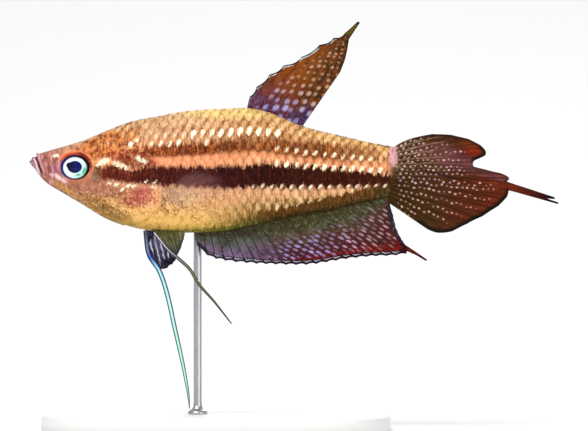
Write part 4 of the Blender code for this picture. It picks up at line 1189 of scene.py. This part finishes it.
def dorsalMaterial():
    paint = FinPaint("dorsal fin", dorsal["spines"])
    r, s, h, coarse, fine, speck = paint.r, paint.s, paint.h, paint.coarse, paint.fine, paint.speck
    base = h + (s - 25.4) * 0.62 + coarse * 1.6 - 5.3
    rear = (r + coarse * 1.6 + fine).step(4.6, 8.0)
    patch = fine + paint.grain * 1.5
    low = base.step(1.7, 0.0)
    foot = dab(s + fine * 1.5 + coarse, h + fine * 2 + coarse, (28.3, 4.7), (1.4, 1.0), 0.5, 1.0)

    # pale spots in the cells of a lattice that closes up towards the tip
    spacing = (h - 5) * -0.055 + 1.0
    x = (s - 25.0 - (h - 5.4) * 0.55) / spacing * (1 / 0.98)
    z = (h - 5.4 + (s - 25.0) * 0.12) / spacing * (1 / 0.86)
    settings = {"voronoi_dimensions": "2D", "feature": "F1"}
    sockets = {"Vector": x.pair(z * 0.78), "Scale": 1.0, "Randomness": 0.42}
    cells = paint.wire.node("ShaderNodeTexVoronoi", settings, sockets)
    tone = cells.output("Color").parts()[0]
    big = base.step(5.0, 0.5) * 0.06
    spots = (cells + fine * 0.3 + speck * 0.15 - 0.13 - 0.1 * tone - big).step(0.16, -0.10)
    inside = (r + coarse - 0.7).step(0.0, 0.6) * paint.toMargin.step(0.6, 1.0).most(
        r.step(6.5, 7.5) * paint.toMargin.step(0.25, 0.5))
    ahead = h + coarse * 2 - (s - 25) * 0.35 + (r - 3) * -0.9
    inside = inside * ahead.step(8.2, 6.2).most(r.step(4.0, 5.2))
    spotHue = (base + coarse).over(0.0, 5.0).ramp((0, 58, 58, 82), (30, 66, 61, 76), (60, 72, 60, 57),
                                                  (100, 70, 56, 42))
    spotHue = (fine.step(0.0, 0.3) * 0.6).pick(spotHue, (86, 84, 90))

    # the dark tip, and a broken white line inside the black margin
    tip = (h + fine * 0.5).step(12.6, 13.3) * (s + h).step(45.6, 46.4)
    edge = paint.toMargin + fine * 0.06
    lit = edge.step(0.25, 0.19) * edge.step(0.11, 0.15)
    lit = lit * (paint.place.noise(1.1, 1.0) + speck * 0.5).step(0.48, 0.56)
    black = (edge.step(0.2, 0.10) * r.step(7.0, 6.6)).most(
        paint.toMargin.least(paint.toSide + 0.05).step(0.18, 0.05) * 0.85)
    ground = base.over(0.0, 5.5).ramp((0, 29, 15, 23), (20, 36, 18, 21), (45, 42, 21, 14), (70, 46, 23, 6),
                                      (100, 47, 25, 3))
    return paint.close(ground.coats(
        (rear * 0.9, (coarse + fine).step(-0.1, 0.15).pick((20, 12, 4), (32, 20, 5))),
        (paint.rays * 0.15, (62, 34, 34)),
        (patch.step(0.02, 0.3) * 0.45, (58, 26, 6)),
        (patch.step(-0.02, -0.3) * 0.6, (20, 7, 5)),
        (low * (fine + coarse).step(-0.05, 0.2) * 0.5, (42, 36, 52)),
        (foot * (fine * 3 + 0.5), (22, 18, 40)),
        (spots * inside * (0.45 + 0.5 * tone), spotHue),
        (tip * 0.9, (36, 30, 6)),
        ((s + h).step(48.0, 48.3), (4, 4, 4)),
        (black, (5, 5, 8)),
        (lit * r.step(6.6, 6.2) * 0.9, (coarse * 2 + 0.2).pick((80, 82, 86), (55, 82, 86)))))


def analMaterial():
    paint = FinPaint("anal fin", anal["spines"])
    r, d, s, h, toMargin = paint.r, paint.d, paint.s, paint.h, paint.toMargin
    coarse, fine, speck, grain = paint.coarse, paint.fine, paint.speck, paint.grain
    low = (d + coarse * 1.6) / (d + toMargin + 0.5)
    front = low.ramp((0, 26, 22, 8), (25, 23, 25, 17), (45, 31, 34, 31), (68, 45, 38, 50), (100, 47, 33, 46))
    rear = low.ramp((0, 24, 22, 8), (30, 24, 24, 14), (50, 30, 18, 14), (75, 28, 10, 12), (100, 38, 9, 8))
    fuzz = (coarse + fine * 1.1).step(0.0, 0.28) * low.step(0.75, 0.3) * (1 - 0.6 * s.step(34, 37))
    band = (toMargin + coarse * 0.4 + fine * 0.3 - s.over(24, 38) * 0.75).step(0.55, 0.2) * s.step(22.5, 26.0)
    band = band * (h + 8.2 - (s - 38).size() * 0.1).step(0.4, -0.6)
    early = r.step(12.0, 6.0)
    thin = (r * 3 + fine * 0.8).fromWhole().size().step(0.22, 0.06) * early * (coarse + fine + 0.5)

    # pale blue spots in slanting rows, smaller towards the rear
    small = s.step(27, 36)
    spots, tone = paint.lattice(s + (h + 9.5) * 0.5, h - s * 0.08 + (s - 33).most(0.0) * 0.2, (0.88, 0.41),
                                (0.29 - small * 0.05, 0.16 - small * 0.025), -0.5, 0.45)
    inside = (low + small * 0.25).step(0.34, 0.62) * (s + coarse * 2).step(23.4, 26.0)
    inside = inside * (toMargin + fine * 0.3).step(0.36, 0.56) * (1 - band * 0.6)
    blue = s.over(24, 38).ramp((0, 54, 56, 74), (30, 60, 56, 82), (55, 66, 55, 72), (80, 76, 60, 60),
                               (100, 70, 60, 54))
    blue = low.step(0.3, 0.8).pick((44, 43, 45), (fine.step(0.05, 0.3) * 0.6).pick(blue, (84, 78, 84)))
    strength = (0.75 * tone + 0.2) * (coarse * 1.6 + 0.95) * (fine * 1.8 + 0.9) * (1.25 - small * 0.35)

    # the margin: black with a white bar between every two rays, and the thread at its rear corner
    edge = toMargin + fine * 0.05
    rearEdge = r.step(21.6, 22.2)
    glint = (toMargin + fine * 0.2).step(0.55, 0.35) * rearEdge * (fine + speck).step(0.1, 0.25)
    thread = s.step(38.9, 39.1)
    under = (1 - thread) * (1 - rearEdge)
    part = r - r.floor() - 0.42 + speck * 0.12
    lit = (edge + part * 0.1).step(0.33, 0.28) * edge.step(0.20, 0.25)
    lit = lit * (part.size() + fine * 0.6).step(0.42, 0.28) * r.step(1.0, 2.0) * r.step(20.9, 20.5)
    whites = (coarse * 2 + fine + 0.2).pick((78, 80, 84), (46, 64, 72))
    return paint.close((s + coarse * 3).step(21.5, 27.5).pick(front, rear).coats(
        (fuzz * 0.5, (42, 47, 36)),
        ((fine * 1.2 + coarse + speck * 0.6).step(-0.02, -0.3) * 0.75, (13, 10, 7)),
        (band * 0.95, (fine + grain).step(-0.2, 0.25).pick((28, 3, 2), (49, 7, 2))),
        (grain.step(0.0, 0.3) * 0.35, (44, 20, 18)),
        (grain.step(0.0, -0.3) * 0.5, (14, 8, 8)),
        (paint.rays * (0.3 + 0.4 * early), (18, 10, 14)),
        (thin * 0.6, (22, 14, 20)),
        (spots * inside * strength, blue),
        ((toMargin + fine * 0.5).step(0.7, 0.1) * rearEdge * 0.85, (9, 10, 14)),
        (glint * 0.35, (55, 62, 72)),
        (thread, s.over(39.4, 41.0).ramp((0, 34, 10, 6), (100, 14, 5, 4))),
        (edge.step(0.44, 0.34) * under * 0.85, (4, 4, 10)),
        (lit * under * (coarse + 0.65), whites)))


def caudalMaterial():
    paint = FinPaint("caudal fin", caudal["spines"])
    r, s, h, coarse, fine, grain = paint.r, paint.s, paint.h, paint.coarse, paint.fine, paint.grain
    toMargin = paint.toMargin
    ground = (s + (h + 1.5) * -0.15 + coarse * 2.5).over(38, 50).ramp(
        (0, 21, 14, 5), (35, 26, 14, 7), (60, 31, 13, 5), (100, 37, 12, 3))
    low = (h + coarse).step(-1.5, -5.0)
    mauve = dab(s + fine, h + fine * 0.5, (44.6, -0.1), (3.2, 0.75), -0.2, 0.7).most(
        dab(s, h, (47.6, -1.35), (2.6, 0.38), -0.27, 0.6),
        dab(s + fine, h + fine, (42.5, 0.9), (2.6, 0.9), -0.1, 0.7) * 0.7)
    tip = dab(s, h, (46.4, 1.15), (1.9, 0.85), -0.5, 0.8)
    wavy = ((r + fine * 0.7 + coarse * 0.6).fromWhole().size() * paint.wide).step(0.14, 0.03) * 0.75
    light = wavy * (s + coarse * 3).step(44.5, 39.5) * (h + coarse * 2).step(-2.2, 0.5)

    # pale spots between the rays, bluer round the middle
    small = s.over(38.0, 49.0)
    spots, tone = paint.spots(0.53, 0.37, 0.145 - small * 0.02, 0.11 - small * 0.01, 0.35)
    inside = toMargin.step(0.7, 1.5) * s.step(48.9, 47.3) * s.step(37.9, 38.4)
    blue = (coarse * 4 - (h + 1.5).size() * 0.5 - (s - 42).size() * 0.15).step(-0.9, 0.1)
    spotHue = h.over(-6, 3).ramp((0, 74, 58, 48), (50, 77, 62, 57), (100, 78, 62, 62))
    spotHue = (blue * 0.5).pick(spotHue, (68, 62, 84))

    # the pink root, painted shade along the fold between the lobes, the dark margin and the thread
    root = dab(s + fine * 0.8, h + fine * 0.6, (37.5, 0.75), (0.5, 1.1), 0.0, 0.5)
    # a dark line of painted shade where the upper lobe folds over the rest
    foldShade = (h + 0.28 * (s - 39.4) + 0.42).size().step(0.13, 0.04) * s.step(39.2, 40.0) * s.step(46.5, 45.0)
    dark = toMargin + fine * 0.25 - r.step(9.0, 10.5) * 0.12 - (r - 3.8).size().step(0.8, 0.3) * 0.12
    dark = dark.step(0.46, 0.1)
    bare = (r.step(4.6, 5.1) * r.step(8.1, 7.8)).most(r.step(3.3, 2.5) * 0.4)
    dark = dark * (1 - bare * 0.8) * r.step(15.9, 14.9).most(0.55)
    dusk = s.over(49.4, 54).ramp((0, 40, 14, 7), (50, 26, 8, 5), (100, 4, 3, 3))
    return paint.close(ground.coats(
        (grain.step(0.0, 0.28) * 0.5,
         s.over(40, 49).ramp((0, 44, 32, 16), (50, 46, 24, 16), (100, 52, 18, 6))),
        (grain.step(0.0, -0.28) * 0.6, (15, 7, 2)),
        (low * s.step(44, 39.5) * 0.5, (20, 14, 3)),
        (mauve * (coarse + 0.6), (44, 25, 27)),
        (tip * 0.75, (h + coarse * 2).step(1.9, 0.8).pick((44, 19, 4), (52, 12, 3))),
        (light * (grain * 2 + fine * 1.5 + 0.5), (72, 58, 46)),
        (paint.rays * s.step(42, 45) * 0.45, (17, 6, 3)),
        (paint.rays * h.step(0.5, -2.0) * 0.4, (17, 10, 4)),
        (spots * inside * (0.65 * tone + 0.3) * (1 - tip * 0.8), spotHue),
        (root * 0.85, (82, 62, 64)),
        (foldShade * 0.7, (12, 4, 3)),
        (dark * 0.95, (5, 6, 3)),
        (paint.toSide.step(0.2, 0.05) * s.step(38.6, 39.6) * 0.6, (10, 8, 5)),
        (s.step(49.3, 49.9), dusk)))


def bodyRoot(form, edge):
    # s from one end of the root to the other, and h a depth inside the back (edge 0) or the belly (edge 1)
    def root(u):
        s = between(*form["root"], u)
        return s, outline(s)[edge] + form["sunk"]

    return root


def straightRoot(form):
    # a straight line between the root's two points (s, h)
    def root(u):
        return [between(*ends, u) for ends in zip(*form["root"])]

    return root


makeFin("dorsal_fin_sheet", dorsal, bodyRoot(dorsal, 0), finWave, dorsalMaterial(), "dorsal_fin",
        "dorsal_fin")
makeFin("anal_fin_sheet", anal, bodyRoot(anal, 1), finWave, analMaterial(), "anal_fin", "anal_fin")
makeFin("caudal_fin_sheet", caudal, straightRoot(caudal), finWave, caudalMaterial(), "caudal_fin",
        "caudal_fin")
print("median fins made")


# Pectoral fins: clear, with fine rays.
pectoral = {
    "root": ((14.25, -2.75), (14.5, -4.2)),
    "rays": 10,
    "per": 10,
    "rows": 44,
    "spines": 1,
    "notch": 0.12,
    "spread": 0.42,
    "strong": 0.7,
    "margin": (
        ((0, 17.6, -0.55), (2, 19.4, -0.6), (4, 20.9, -2.2), (6.5, 20.6, -4.0), (8, 18.8, -5.3),
         (9, 17.1, -5.35)),
    ),
}


def pectoralRise(side):
    # the foot on the flank, and a rise in proportion to the length
    def rise(u, length):
        stand = 0.5 * smoothStep(length, 0.0, 0.8)
        return side * (flankY(*straightRoot(pectoral)(u)) - 0.12 + stand + pectoral["spread"] * length)

    return rise


def pectoralMaterial():
    paint = FinPaint("pectoral fin", pectoral["spines"])
    colour = paint.rays.pick((56, 42, 38), (66, 50, 44))
    clear = paint.up.step(0.3, 0.0) * 0.12 + (paint.rays * 0.06 + 0.03) * paint.up.step(1.0, 0.55)
    paint.set(Base_Color=colour, Roughness=0.4, Alpha=clear, Specular_IOR_Level=0.1)
    paint.bump(paint.fine * 0.5 + paint.rays, 0.00004, 0.6)
    return paint.material


pectoralFinish = pectoralMaterial()
for side, name in ((-1, "pectoral_fin_left"), (1, "pectoral_fin_right")):
    rise = pectoralRise(side)
    makeFin(name + "_sheet", pectoral, straightRoot(pectoral), rise, pectoralFinish, "pectoral_fins", name)
print("pectoral fins made")


# Pelvic fins: a small membrane and one very long ray on each side.
pelvic = {
    "rays": 6,
    "per": 12,
    "rows": 40,
    "spines": 1,
    "notch": 0.1,
    "strong": 1.0,
    "rootY": 0.75,
    "rootDeep": 0.25,
    "spread": 0.17,
    "threadSides": 20,
    "threadSteps": 120,
    "threadFlat": 0.7,       # its thickness, as a share of its width
}

# Each side's root in s, the thread's radii, the margin, the thread's line (s, h), the membrane's colours
# (two of its ground, its streaks and its dark end) and the streaks' strength, the thread's colours, and the
# colour of painted shade along the thread's edges.
pelvicSides = (
    {"name": "right", "side": 1, "root": (11.95, 15.2), "radii": (0.26, 0.05),
     "margin": (((0, 12.35, -9.6), (1, 13.5, -11.05), (2.5, 14.5, -10.75), (4, 15.05, -10.2),
                 (5, 15.3, -9.5)),),
     "thread": ((11.98, -7.1), (12.3, -9.5), (13.4, -11.3), (14.2, -13.7), (14.95, -17.1), (15.75, -20.7),
                (16.3, -23.7), (16.5, -25.55)),
     "tones": ((14, 10, 20), (42, 40, 54), (90, 90, 96), (6, 4, 9)), "strong": 0.95,
     "stops": ((0, 46, 44, 56), (12, 50, 52, 70), (17, 22, 38, 80), (24, 60, 82, 98), (45, 75, 97, 95),
               (80, 72, 98, 87), (100, 30, 44, 38)),
     "edge": (4, 16, 24)},
    {"name": "left", "side": -1, "root": (12.5, 16.15), "radii": (0.18, 0.06),
     "margin": (((0, 14.6, -9.3), (1.5, 15.15, -9.7), (3, 15.4, -9.5), (4, 15.65, -8.95), (5, 15.95, -8.0)),),
     "thread": ((12.9, -7.3), (14.3, -9.0), (15.45, -10.0), (16.6, -11.1), (17.55, -12.65), (19.1, -14.4),
                (20.88, -16.66)),
     "tones": ((28, 26, 12), (38, 36, 20), (62, 60, 50), (17, 20, 18)), "strong": 0.4,
     "stops": ((0, 72, 70, 76), (18, 62, 60, 66), (32, 48, 46, 45), (50, 45, 44, 38), (62, 43, 46, 27),
               (80, 37, 39, 28), (100, 22, 24, 18)),
     "edge": (7, 7, 6)},
)


def pelvicY(side, down):
    # y = side (0.75 + 0.17 down^0.8)
    return side * (pelvic["rootY"] + pelvic["spread"] * np.clip(down, 0, None) ** 0.8)


def pelvicMaterial(one):
    paint = FinPaint(one["name"] + " pelvic fin", pelvic["spines"])
    coarse, fine, up = paint.coarse, paint.fine, paint.up
    ground, pale, bright, end = one["tones"]
    streak = paint.r * 1.3 + coarse * 0.9
    streak = (streak - streak.floor() - 0.5).size().step(0.23, 0.08)
    streak = streak * (coarse * 1.4 + paint.grain).step(-0.12, 0.1) * up.step(0.02, 0.2) * up.step(0.98, 0.7)
    return paint.close((coarse + fine * 0.5).step(-0.15, 0.2).pick(ground, pale).coats(
        (paint.grain.step(0.0, 0.2) * 0.6, pale),
        (up.step(0.2, 0.9) * 0.75, end),
        (streak * one["strong"], bright),
        (paint.rays * 0.4, end),
        (paint.toMargin.step(0.14, 0.04) * 0.8, (5, 5, 6))), 0.35)


def threadMaterial(one):
    # colours along the thread, with a pale core between edges darkened by painted shade, as the side shows it
    paint = Paint(one["name"] + " pelvic thread")
    u, v = paint.uv()             # along the thread, and how far off its middle line
    fine = paint.place.shake(5.0, 2.0)
    # the thread's edges, where its tube turns away from the side, darkened as painted shade
    rim = (v + fine * 0.3).step(0.2, 0.58) * 0.9
    colour = (u + fine * 0.05).ramp(*one["stops"]).coats((rim, one["edge"]))
    paint.set(Base_Color=colour, Roughness=0.45, Specular_IOR_Level=0.05)
    paint.bump(fine, 0.00003, 0.5)
    return paint.material


def makeThread(name, path, radii, material):
    # a tapered tube of oval section carried along a smooth path, its ends drawn in to points
    t = np.linspace(0, 1, len(path))
    ahead = np.gradient(path, axis=0)
    ahead /= np.linalg.norm(ahead, axis=1, keepdims=True)
    across = np.cross(ahead, (0.0, 1.0, 0.0))
    across /= np.linalg.norm(across, axis=1, keepdims=True)
    beside = np.cross(ahead, across) * pelvic["threadFlat"]
    turn = turns(pelvic["threadSides"])[None, :, None]
    ring = np.sin(turn) * across[:, None] + np.cos(turn) * beside[:, None]
    rings = path[:, None] + ring * between(*radii, t**4)[:, None, None]
    piece = putTube(name, rings, path[0] - ahead[0] * 0.05, path[-1] + ahead[-1] * 0.05)
    place = flatten(t[:, None], np.abs(np.sin(turn[..., 0])))
    pointUv(piece, "UVMap", np.concatenate([place, [[0, 0], [1, 0]]]))
    dress(piece, material, "pelvic_fins")


def makePelvic(one):
    # the membrane under the belly, and the thread down its own line
    side = one["side"]

    def root(u):
        s = between(*one["root"], u)
        return s, bellyH(s, pelvic["rootY"]) + pelvic["rootDeep"]

    def rise(u, length):
        return pelvicY(side, length * 0.9 - 0.3)

    name = "pelvic_fin_" + one["name"]
    form = {**pelvic, "margin": one["margin"]}
    makeFin(name + "_sheet", form, root, rise, pelvicMaterial(one), "pelvic_fins", name)
    knots = np.linspace(0, 1, len(one["thread"]))[:, None]
    s, h = smoothLine(np.hstack([knots, one["thread"]]), np.linspace(0, 1, pelvic["threadSteps"]))
    foot = bellyH(one["root"][0], pelvic["rootY"])
    path = np.stack([s, pelvicY(side, foot - h), h], axis=1)
    makeThread("pelvic_thread_" + one["name"], path, one["radii"], threadMaterial(one))


for one in pelvicSides:
    makePelvic(one)
print("pelvic fins made")


# The display stand.
stand = {
    "centreX": -8.0,
    "long": 36.0,
    "wide": 24.0,
    "thick": 1.6,
    "round": 3.2,            # the power of the base's outline
    "bevel": 0.45,
    "foot": 0.12,            # the small step round the base's lower edge
    "sides": 160,
    "rodS": 17.35,
    "rodY": 1.2,
    "rodProfile": (          # radius and height above the base, the last one being cut to the belly
        (1.0, 0.0), (1.0, 0.22), (0.93, 0.34), (0.72, 0.46), (0.55, 0.62), (0.45, 0.9), (0.42, 1.3),
        (0.42, 17.8), (0.42, 18.0),
    ),
    "rodInto": 0.15,
}


def putStand(name, rings, material, node):
    # stacked rings closed by a pole in the middle of each end
    dress(putTube(name, rings, rings[0].mean(axis=0), rings[-1].mean(axis=0)), material, node, node)


def makeStand():
    # base: |x/a|^n + |y/b|^n = 1 with a quarter round along its top edge; rod: a turned foot and a shaft
    turn = turns(stand["sides"])
    x, y = [signedPower(side, 2 / stand["round"]) for side in (np.cos(turn), np.sin(turn))]
    bend = np.linspace(0, np.pi / 2, 9)
    low = stand["thick"] - stand["bevel"]
    inset = np.concatenate([[stand["foot"], 0.0], stand["bevel"] * (1 - np.cos(bend)), [1.2, 4.0]])[:, None]
    z = np.concatenate([[0.0, stand["foot"]], low + stand["bevel"] * np.sin(bend),
                        [stand["thick"]] * 2])[:, None]
    ringS = stand["centreX"] + fish["middle"] + (stand["long"] / 2 - inset) * x
    ringY = (stand["wide"] / 2 - inset) * y
    rings = np.stack(np.broadcast_arrays(ringS, ringY, z - fish["level"]), axis=-1)
    putStand("display_base", rings, baseMaterial(), "stand_base")
    turn = turn[::4]
    radius, rise = np.array(stand["rodProfile"]).T[..., None]
    ringS = stand["rodS"] + radius * np.cos(turn)
    ringY = stand["rodY"] + radius * np.sin(turn)
    top = stand["thick"] + rise - fish["level"] + 0 * turn
    top[-1] = bellyH(ringS[-1], ringY[-1]) + stand["rodInto"]
    putStand("display_rod", np.stack([ringS, ringY, top], axis=-1), rodMaterial(), "stand_rod")


def baseMaterial():
    paint = Paint("satin base")
    fine = paint.place.noise(9.0, 2.0)
    colour = (paint.place.noise(1.4, 3.0) * 0.5).pick((90, 90, 89), (86, 86, 86))
    paint.set(Base_Color=colour, Roughness=0.42 + fine * 0.12, Coat_Weight=0.2, Coat_Roughness=0.3)
    paint.bump(fine, 0.00003, 0.4)
    return paint.material


def rodMaterial():
    paint = Paint("brushed steel")
    brush = paint.place.stretch((12.0, 12.0, 0.8)).noise(1.0, 3.0)
    colour = brush.pick((66, 66, 68), (80, 80, 82))
    paint.set(Base_Color=colour, Metallic=1.0, Roughness=0.22 + brush * 0.16)
    paint.bump(brush, 0.00002, 0.4)
    return paint.material


makeStand()
print("stand made")


# The studio: a pale floor that sweeps up behind, soft light, and the camera at the photograph's angle.
studio = {
    "pixel": 0.1033,         # mm for each pixel of the photograph
    "frame": (588, 431),
    "snout": (29.5, 162.0),  # where the snout's tip is in the frame
    "far": 0.6,              # metres from the camera to the fish
    "sensor": 36.0,
    "wide": 2.5,             # the floor's half width, its front, where it starts to rise, and its top
    "front": -1.6,
    "bendAt": 0.5,
    "sweep": 0.45,
    "high": 2.5,
    "lights": (              # name, place, aim, size and power
        ("key", (-0.25, -0.45, 0.55), (0.0, 0.0, 0.025), (0.5, 0.4), 4.2),
        ("fill", (0.45, -0.5, 0.15), (0.0, 0.0, 0.02), (0.4, 0.4), 1.2),
        ("back", (0.1, 0.6, 0.5), (0.0, 0.0, 0.03), (0.5, 0.3), 2.0),
    ),
    "world": 0.5,
}


def makeFloor():
    # a floor and a back wall joined by a quarter round, as one grid
    bend = np.linspace(0, np.pi / 2, 24)
    rear = studio["bendAt"] + studio["sweep"] * np.append(np.sin(bend), 1)
    y = np.concatenate([[studio["front"], studio["bendAt"]], rear])
    z = np.concatenate([[0, 0], studio["sweep"] * (1 - np.cos(bend)), [studio["high"]]])
    x = np.linspace(-studio["wide"], studio["wide"], 9)
    points = flatten(x, y[:, None], z[:, None]) * 1000 + np.array([fish["middle"], 0, -fish["level"]])
    piece = putMesh("studio_floor", points, gridQuads(len(y), len(x), False), loose=True)
    paint = Paint("pale floor")
    colour = (paint.place.noise(0.02, 2.0) * 0.3).pick((95.5, 95.5, 95.5), (94, 94, 94.5))
    paint.set(Base_Color=colour, Roughness=0.7)
    piece.data.materials.append(paint.material)


def putHeld(name, data, place, turn):
    # a lamp or a camera in its place
    held = bpy.data.objects.new(name, data)
    held.location = place
    held.rotation_euler = turn
    bpy.context.scene.collection.objects.link(held)
    return held


def softLight(name, place, aim, size, power):
    lamp = bpy.data.lights.new(name, "AREA")
    lamp.shape = "RECTANGLE"
    lamp.size, lamp.size_y = size
    lamp.energy = power
    x, y, z = np.subtract(aim, place)
    putHeld(name, lamp, place, (np.pi / 2 - np.arctan2(-z, np.hypot(x, y)), 0.0,
                                np.arctan2(y, x) - np.pi / 2))


def makeCamera():
    # level, square on to the left flank, with the frame's millimetres set by the snout's pixel
    wide, high = np.multiply(studio["frame"], studio["pixel"])
    right, down = np.multiply(studio["snout"], studio["pixel"])
    lens = bpy.data.cameras.new("camera")
    lens.sensor_fit = "HORIZONTAL"
    lens.sensor_width = studio["sensor"]
    lens.lens = studio["sensor"] * studio["far"] * 1000 / wide
    lens.clip_start = 0.01
    place = ((wide / 2 - right - fish["middle"]) * 0.001, -studio["far"],
             (fish["level"] + down - high / 2) * 0.001)
    bpy.context.scene.camera = putHeld("camera", lens, place, (np.pi / 2, 0.0, 0.0))


makeFloor()
for light in studio["lights"]:
    softLight(*light)
world = bpy.data.worlds.new("studio")
world.use_nodes = True
world.node_tree.nodes["Background"].inputs["Color"].default_value = (1.0, 1.0, 1.0, 1.0)
world.node_tree.nodes["Background"].inputs["Strength"].default_value = studio["world"]
bpy.context.scene.world = world
bpy.context.scene.view_settings.view_transform = "Standard"
makeCamera()
print("studio made")
